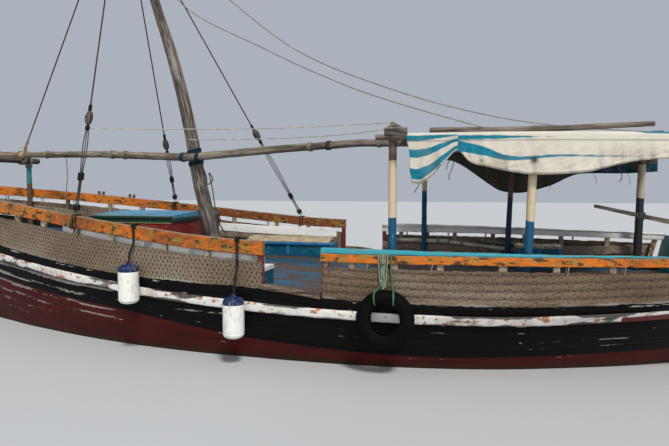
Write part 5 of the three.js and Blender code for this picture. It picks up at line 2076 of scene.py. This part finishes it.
@dataclass
class SideGear:
    """Fenders and the tyre, with the ropes that hold them."""

    fender_section: Table = ((0.002, -0.235), (0.06, -0.234),
        (0.09, -0.222), (0.11, -0.2), (0.114, -0.18), (0.1115, -0.175), (0.1115, -0.169), (0.114, -0.164),
        (0.1135, 0.0), (0.114, 0.12), (0.1115, 0.125), (0.1115, 0.131), (0.114, 0.136), (0.11, 0.165),
        (0.092, 0.19), (0.05, 0.205), (0.03, 0.208), (0.026, 0.228), (0.01, 0.2345), (0.001, 0.235))
    fender_dark: float = 0.128  # from the fender's middle up to its dark end
    rim: float = 0.15  # radius of the tyre's bead

    def fender(self, node: str) -> None:
        """A moulded fender: a ribbed cylinder with domed dark ends and an eye at the top, on a black rope.

        Args:
            node: its node.
        """
        low, high = corners(node)
        (x, y, _), top = (low + high) / 2, high[2]
        profile = np.array(self.fender_section)
        profile = curve(np.c_[profile, 0 * profile[:, 0]], 90)
        ring = circle(1, 36)
        points = spread(profile[:, :1] * ring[:, 0], profile[:, :1] * ring[:, 1], profile[:, 1:2])
        shape = Shape().tube(points + (low + high) / 2, line=profile[:, 1:2] - self.fender_dark)
        shape.make(f"{node}_body", PLASTIC, "fender_plastic", replaces=[node])
        rail, edge = rail_top(x), LINES.half(x)
        shape = Shape()
        for shift in (-0.008, 0.01):
            out = np.r_[y - 0.01, y - 0.04, edge + np.r_[0.025, 0.016, 0.016, -0.03, -0.09, -0.088]]
            over = rail + np.r_[-0.15, 0.004, 0.014, -0.01, -0.13]
            z = np.r_[top + np.r_[-0.01, 0.1], (top + rail) / 2, over]
            rope(shape, spread(x + shift * np.r_[0.3, np.ones(7)], out, z), 0.0075)
        lashing(shape, (x, edge, rail + 0.004), (1, 0, 0), 0.02, 0.05, 0.007)
        rope(shape, spread(x + np.r_[-0.03, 0, 0.03], y, top + np.r_[-0.012, 0.004, -0.012]), 0.006)
        shape.make(f"{node}_rope", BLACK_ROPE, "rope")

    def tyre(self) -> None:
        """A worn car tyre: a lathe round Y with a tread of staggered blocks, ribs and two open beads.

        The section is a closed loop; the tread's blocks are cut by a smooth square wave round the tyre whose
        phase steps between the ribs.
        """
        low, high = corners("tyre")
        (x, y, z), (_, half, outer) = (low + high) / 2, (high - low) / 2
        rim = self.rim
        outside = [(rim, 0.045),
            (rim + 0.006, 0.06), (rim + 0.03, 0.074), (rim + 0.075, half), (rim + 0.085, half - 0.002),
            (outer - 0.045, half - 0.004), (outer - 0.02, 0.068), (outer - 0.004, 0.056),
            (outer, 0.04), (outer, 0.022), (outer - 0.007, 0.02), (outer - 0.007, 0.014), (outer, 0.012)]
        inside = [(outer - 0.032, 0.05),
            (rim + 0.085, 0.062), (rim + 0.045, 0.06), (rim + 0.014, 0.052), (rim + 0.012, 0.04)]
        far = (1, -1)
        r, w = np.concatenate([np.array(outside) * far,
            outside[::-1], inside[::-1], [(outer - 0.028, 0)], np.array(inside) * far]).T
        angle = (np.arange(241) * TURN / 240)[:, None]
        blocks = np.sin(angle * 60 + np.sign(w) * 1.4 + (np.abs(w) < 0.013) * 1.5)
        cut = ease(r, outer - 0.012, outer - 0.001) * ease(blocks, 0.5, 0.8) * 0.006
        ribs = bump(r, rim + 0.1, 0.02) * (np.abs(w) > 0.07) * ease(np.sin(angle * 90), 0, 0.5) * 0.0012
        wide = w - np.sign(w) * (0.0015 - ribs)
        points = spread(x + (r - cut) * np.cos(angle), y + wide, z + (r - cut) * np.sin(angle))[:-1]
        loop = np.swapaxes(points, 0, 1)
        shape = Shape().grid(np.concatenate([loop, loop[:1]]), wrap=True)
        piece = shape.make("old_tyre", RUBBER, "tyre", replaces=["tyre"], sharp=50)
        face_out(piece.data, weld=True)
        piece.data.update()
        self.tyre_ropes(x, y, z + outer, half)

    def tyre_ropes(self, x: float, y: float, top: float, half: float) -> None:
        """A doubled rope over the rail and through the tyre, and three turns of thin rope on it.

        Args:
            x: the tyre's middle along the boat.
            y: its middle across.
            top: height of its top.
            half: half of its width.
        """
        edge = LINES.half(x)
        shape = Shape()
        for shift, lean in ((-0.045, -0.05), (0.035, 0.06)):
            across = np.r_[half + 0.01, half + 0.009, 0.03, -0.03, -half - 0.004, 0.01 - half]
            path = spread(x + shift + lean * np.r_[0, 0, 0, 0.5, 1, 1, 0.9, 0.9, 1, 0.7],
                np.r_[edge + np.r_[-0.03, 0.017, 0.018, 0.05], y + across],
                np.r_[1.255, 1.235, 1.1, 0.93, top - np.r_[0.02, 0.11, 0.152, 0.15, 0.1, -0.02]])
            rope(shape, path, 0.0085)
        x = x + 0.035
        for k, drop in enumerate((0.33, 0.36, 0.28)):
            path = spread(x + (k - 1) * 0.022 + np.r_[-0.03, -0.025, -0.02, 0, 0.02, 0.028, 0.03],
                edge + np.r_[-0.012, 0.02, 0.026, 0.03, 0.026, 0.02, -0.012],
                np.r_[1.258, 1.24, 1.15, 1.25 - drop, 1.12, 1.24, 1.258])
            rope(shape, path, 0.0055, part=1)
        lashing(shape, (x, edge + 0.03, 1.19), (0, 0, 1), 0.026, 0.05, 0.006, flat=0.5, part=1)
        shape.make("tyre_ropes", [GREEN_ROPE, PALE_GREEN], "rope")

    def build(self) -> None:
        """Both fenders and the tyre."""
        for node in ("fender_fore", "fender_aft"):
            self.fender(node)
        self.tyre()


@dataclass
class Rigging:
    """Stays with their blocks and falls, slack lines, ridge lines and the lacing of the mats."""

    stay_radius: float = 0.0105
    falls: tuple[tuple[str, float, float], ...] = (("shroud_port", 1.3, 0.5),
        ("shroud_starboard_fore", 1.05, 0.42), ("shroud_starboard_aft", 1.62, 0.42))

    def stay(self, node: str) -> tuple[Array, Array, Array]:
        """The upper and the lower end of a stay's node, and the way up along it."""
        high, low = read_rings(node, 2, 0.5)[::-1, :3]
        return high, low, unit(high - low)

    def forestay(self) -> None:
        """The forestay: its turns round the stem head, and the frayed ends."""
        high, low, way = self.stay("forestay")
        shape = Shape()
        rope(shape, [high, high - (high - low) / 2, low], self.stay_radius, pitch=8)
        lashing(shape, low - (0, 0, 0.055), (1, -0.23, 0), 0.052, 0.12, 0.009, part=1)
        lashing(shape, low + way * 0.12, way, 0.011, 0.16, 0.006, part=1)
        for k in range(7):
            rng = seeded(f"fray{k}")
            start = low + way * (0.05 + 0.02 * k)
            tip = start + rng.normal(0, 0.035, 3) + (0.0, 0.02, -0.1)
            rope(shape, [start, (start + tip) / 2 + rng.normal(0, 0.012, 3), tip], 0.005, sides=5, part=1)
        shape.make("forestay_rope", [TARRED, TAN, DARK], "rope", replaces=["forestay"])

    def shroud(self, node: str, fall: float, double: float) -> None:
        """A shroud, which ends in a block, a tripled fall and turns round the rail.

        Args:
            node: its node.
            fall: how far up along it the block is.
            double: how far up the fall is seized.
        """
        high, low, way = self.stay(node)
        shape = Shape()
        middle, knot = low + way * fall, low + way * double
        rope(shape, [high, (high + middle) / 2, middle + way * 0.1], self.stay_radius, pitch=8)
        block(shape, middle, way, 0.1, part=2)
        lashing(shape, middle + way * 0.13, way, 0.012, 0.1, 0.006, part=1)
        across = unit(np.cross(way, (0.0, 1.0, 0.2)))
        for shift in (-0.022, 0.0, 0.022):
            lead = [middle - way * 0.08, (middle + knot) / 2, knot, low + way * 0.03]
            rope(shape, lead + across * shift * np.array([[0.5], [1.5], [0.7], [1.0]]), 0.0065)
        lashing(shape, knot, way, 0.026, 0.09, 0.007, part=1)
        lashing(shape, low + way * 0.1, way, 0.03, 0.06, 0.007, part=1)
        lashing(shape, middle - way * 0.14, way, 0.018, 0.05, 0.006, part=1)
        t = np.linspace(0, TURN * 4, 110)
        box = spread(np.cos(t), np.sin(t))
        box = box / np.maximum(np.abs(box).max(-1, keepdims=True), 0.75)
        path = spread(low[0] + 0.035 * np.sin(t / 8 - 1.5) + 0.012 * np.sin(t * 0.5 + low[0]),
            np.sign(low[1]) * (LINES.half(low[0]) - 0.035 + 0.0475 * box[:, 0]),
            rail_top(low[0]) - 0.074 + 0.081 * box[:, 1])
        rope(shape, path, 0.0085, count=360, sides=8, part=1)
        shape.make(f"{node}_rope", [TARRED, BLACK_ROPE, DARK], "rope", replaces=[node])

    def slack(self) -> None:
        """Slack lines from the masthead aft to the awning, the two ridge lines, and loose ends."""
        shape = Shape()
        mast = read_rings("mast", 2)
        behind = [[np.interp(z, mast[:, 2], mast[:, 0] - mast[:, 3] * 0.9), 0.0, z] for z in (6.0, 5.9)]
        rope(shape, [behind[0], [0.75, 0.02, 4.62], [-0.55, 0.05, 3.86],
            [-1.82, 0.08, 3.26], [-2.75, 0.1, 2.93], [-3.58, 0.14, 2.67]], 0.0075, count=500)
        rope(shape, [behind[1], [-0.09, -0.02, 4.53], [-1.09, -0.04, 3.78], [-2.48, -0.06, 3.19],
            [-3.6, -0.08, 2.86], [-4.49, -0.1, 2.7], [-5.6, -0.14, 2.6]], 0.0075, count=500)
        for ridge in ([[1.24, 1.385, 2.66], [0.0, 1.46, 2.615], [-1.3, 1.6, 2.585], [-2.62, 1.72, 2.6]],
                [[0.56, 0.1, 2.6], [-0.9, 0.55, 2.56], [-1.9, 0.95, 2.555], [-2.62, 1.3, 2.59]]):
            rope(shape, ridge, 0.006, count=260, part=1)
        shape.bar([[-5.55, -0.16, 2.602], [-5.62, -0.12, 2.606], [-5.69, -0.08, 2.602]], 0.03, 0.022, part=3)
        rope(shape, [[0.36, 0.15, 2.27],
            [0.25, 0.2, 2.08], [0.2, 0.26, 1.96], [0.13, 0.24, 2.02], [0.17, 0.27, 2.12],
            [0.1, 0.33, 1.93], [-0.08, 0.6, 1.6], [-0.48, 1.3, 1.44], [-0.8, 1.88, 1.42]], 0.0085, part=2)
        lashing(shape, (-0.3, 0.98, 1.51), (-0.5, 0.85, -0.2), 0.01, 0.06, part=2)
        rope(shape, [[3.01, -0.39, 2.37], [3.09, -0.5, 2.1], [3.22, -0.62, 1.78], [3.32, -0.72, 1.1]], 0.007)
        shape.make("running_lines", [HEMP, PALE_ROPE, TARRED, DARK], "rope")

    def lacing(self) -> None:
        """Grey loops of thin rope that tie the mats' tops to the rails."""
        for side in Side:
            shape = Shape()
            rng = seeded(f"lacing{side.word}")
            places = np.r_[np.arange(-1.0, 5.2, 0.55), np.arange(-5.6, -2.1, 0.65)]
            for s in places + rng.uniform(-0.08, 0.08, len(places)):
                under, gap = (1.16, 0.06) if s < -1.9 else (rail_top(s) - 0.148, 0.068)
                rows = np.array([[-0.012, -0.045, 0.012], [-0.01, -0.008, 0.006],
                    [-0.004, 0.004, -gap * 0.5], [0.004, 0.0, -gap - 0.02], [0.012, -0.01, -gap - 0.035],
                    [0.014, -0.026, -gap - 0.03], [0.01, -0.03, -gap * 0.5], [0.006, -0.045, 0.01]])
                y = (LINES.half(s) + rows[:, 1]) * side.value
                path = LINES.place(s + rows[:, 0], y, under + rows[:, 2])
                rope(shape, path, 0.0065, sides=7, pitch=9)
            shape.make(f"mat_lacing_{side.word}", HEMP, "rope")

    def build(self) -> None:
        """All of the rigging."""
        self.forestay()
        for fall in self.falls:
            self.shroud(*fall)
        self.slack()
        self.lacing()


@dataclass
class Studio:
    """Camera as in the photograph, soft lights, and a pale floor at the waterline."""

    eye: tuple[float, float, float] = (-3.48, 7.8, 1.95)
    heading: tuple[float, float] = (0.237, -0.972)
    pitch: float = math.atan(38 / 580)
    focal_pixels: float = 580.0
    image_width: float = 669.0
    sensor: float = 36.0
    floor_half: float = 60.0

    def add(self, name: str, data: Any, towards: Point | None = None) -> bpy.types.Object:
        """Adds an object to the scene.

        Args:
            name: its name.
            data: its camera, lamp or mesh.
            towards: the way that its -Z axis points.
        Returns:
            The object.
        """
        made = bpy.data.objects.new(name, data)
        if towards is not None:
            made.rotation_mode = "QUATERNION"
            made.rotation_quaternion = Vector(towards).to_track_quat("-Z", "Y")
        bpy.context.scene.collection.objects.link(made)
        return made

    def camera(self) -> None:
        """Places the camera."""
        data = bpy.data.cameras.new("camera")
        data.sensor_width = self.sensor
        data.lens = self.sensor * self.focal_pixels / self.image_width
        data.clip_end = 500
        level = unit(np.array(self.heading)) * math.cos(self.pitch)
        made = self.add("camera", data, (*level, -math.sin(self.pitch)))
        made.location = self.eye
        bpy.context.scene.camera = made

    def floor(self) -> None:
        """A plain pale floor."""
        mesh = bpy.data.meshes.new("floor")
        wide = self.floor_half
        corner = [(-wide, -wide, 0), (wide, -wide, 0), (wide, wide, 0), (-wide, wide, 0)]
        mesh.from_pydata(corner, [], [(0, 1, 2, 3)])
        tree = Tree("floor")
        tree.surface((0.5, 0.51, 0.52), 0.95)
        mesh.materials.append(tree.material)
        self.add("floor", mesh)

    def sun(self, name: str, towards: Point, strength: float, angle: float, colour: Colour) -> None:
        """A distant lamp with soft shadows.

        Args:
            name: the lamp's name.
            towards: the way its light travels.
            strength: in watts a square metre.
            angle: its angle across, in degrees.
            colour: its colour.
        """
        data = bpy.data.lights.new(name, "SUN")
        data.energy, data.angle, data.color = strength, math.radians(angle), colour
        self.add(name, data, towards)

    def build(self) -> None:
        """Camera, floor, lights and a pale world."""
        self.camera()
        self.floor()
        self.sun("key", (0.35, -0.62, -0.8), 2.6, 9, (1.0, 0.97, 0.91))
        self.sun("fill", (0.15, -0.95, -0.22), 0.8, 50, (1.0, 0.99, 0.97))
        self.sun("back", (0.2, 0.8, -0.6), 0.35, 30, (0.9, 0.95, 1.0))
        world = bpy.data.worlds.new("studio")
        world.use_nodes = True
        inputs = world.node_tree.nodes["Background"].inputs
        inputs[0].default_value, inputs[1].default_value = (0.82, 0.89, 1.0, 1), 0.5
        bpy.context.scene.world = world
        bpy.context.scene.view_settings.view_transform = "Standard"


def main() -> None:
    """Builds every sub-assembly in order."""
    logging.basicConfig(level=logging.INFO, format="%(message)s")
    for part in (Studio(), Hull(), Decks(),
            Bulwarks(), Mats(), Trunk(), Furniture(), Spars(), Awning(), Steering(), SideGear(), Rigging()):
        part.build()
        LOG.info("%s done", type(part).__name__)


if __name__ == "__main__":
    main()
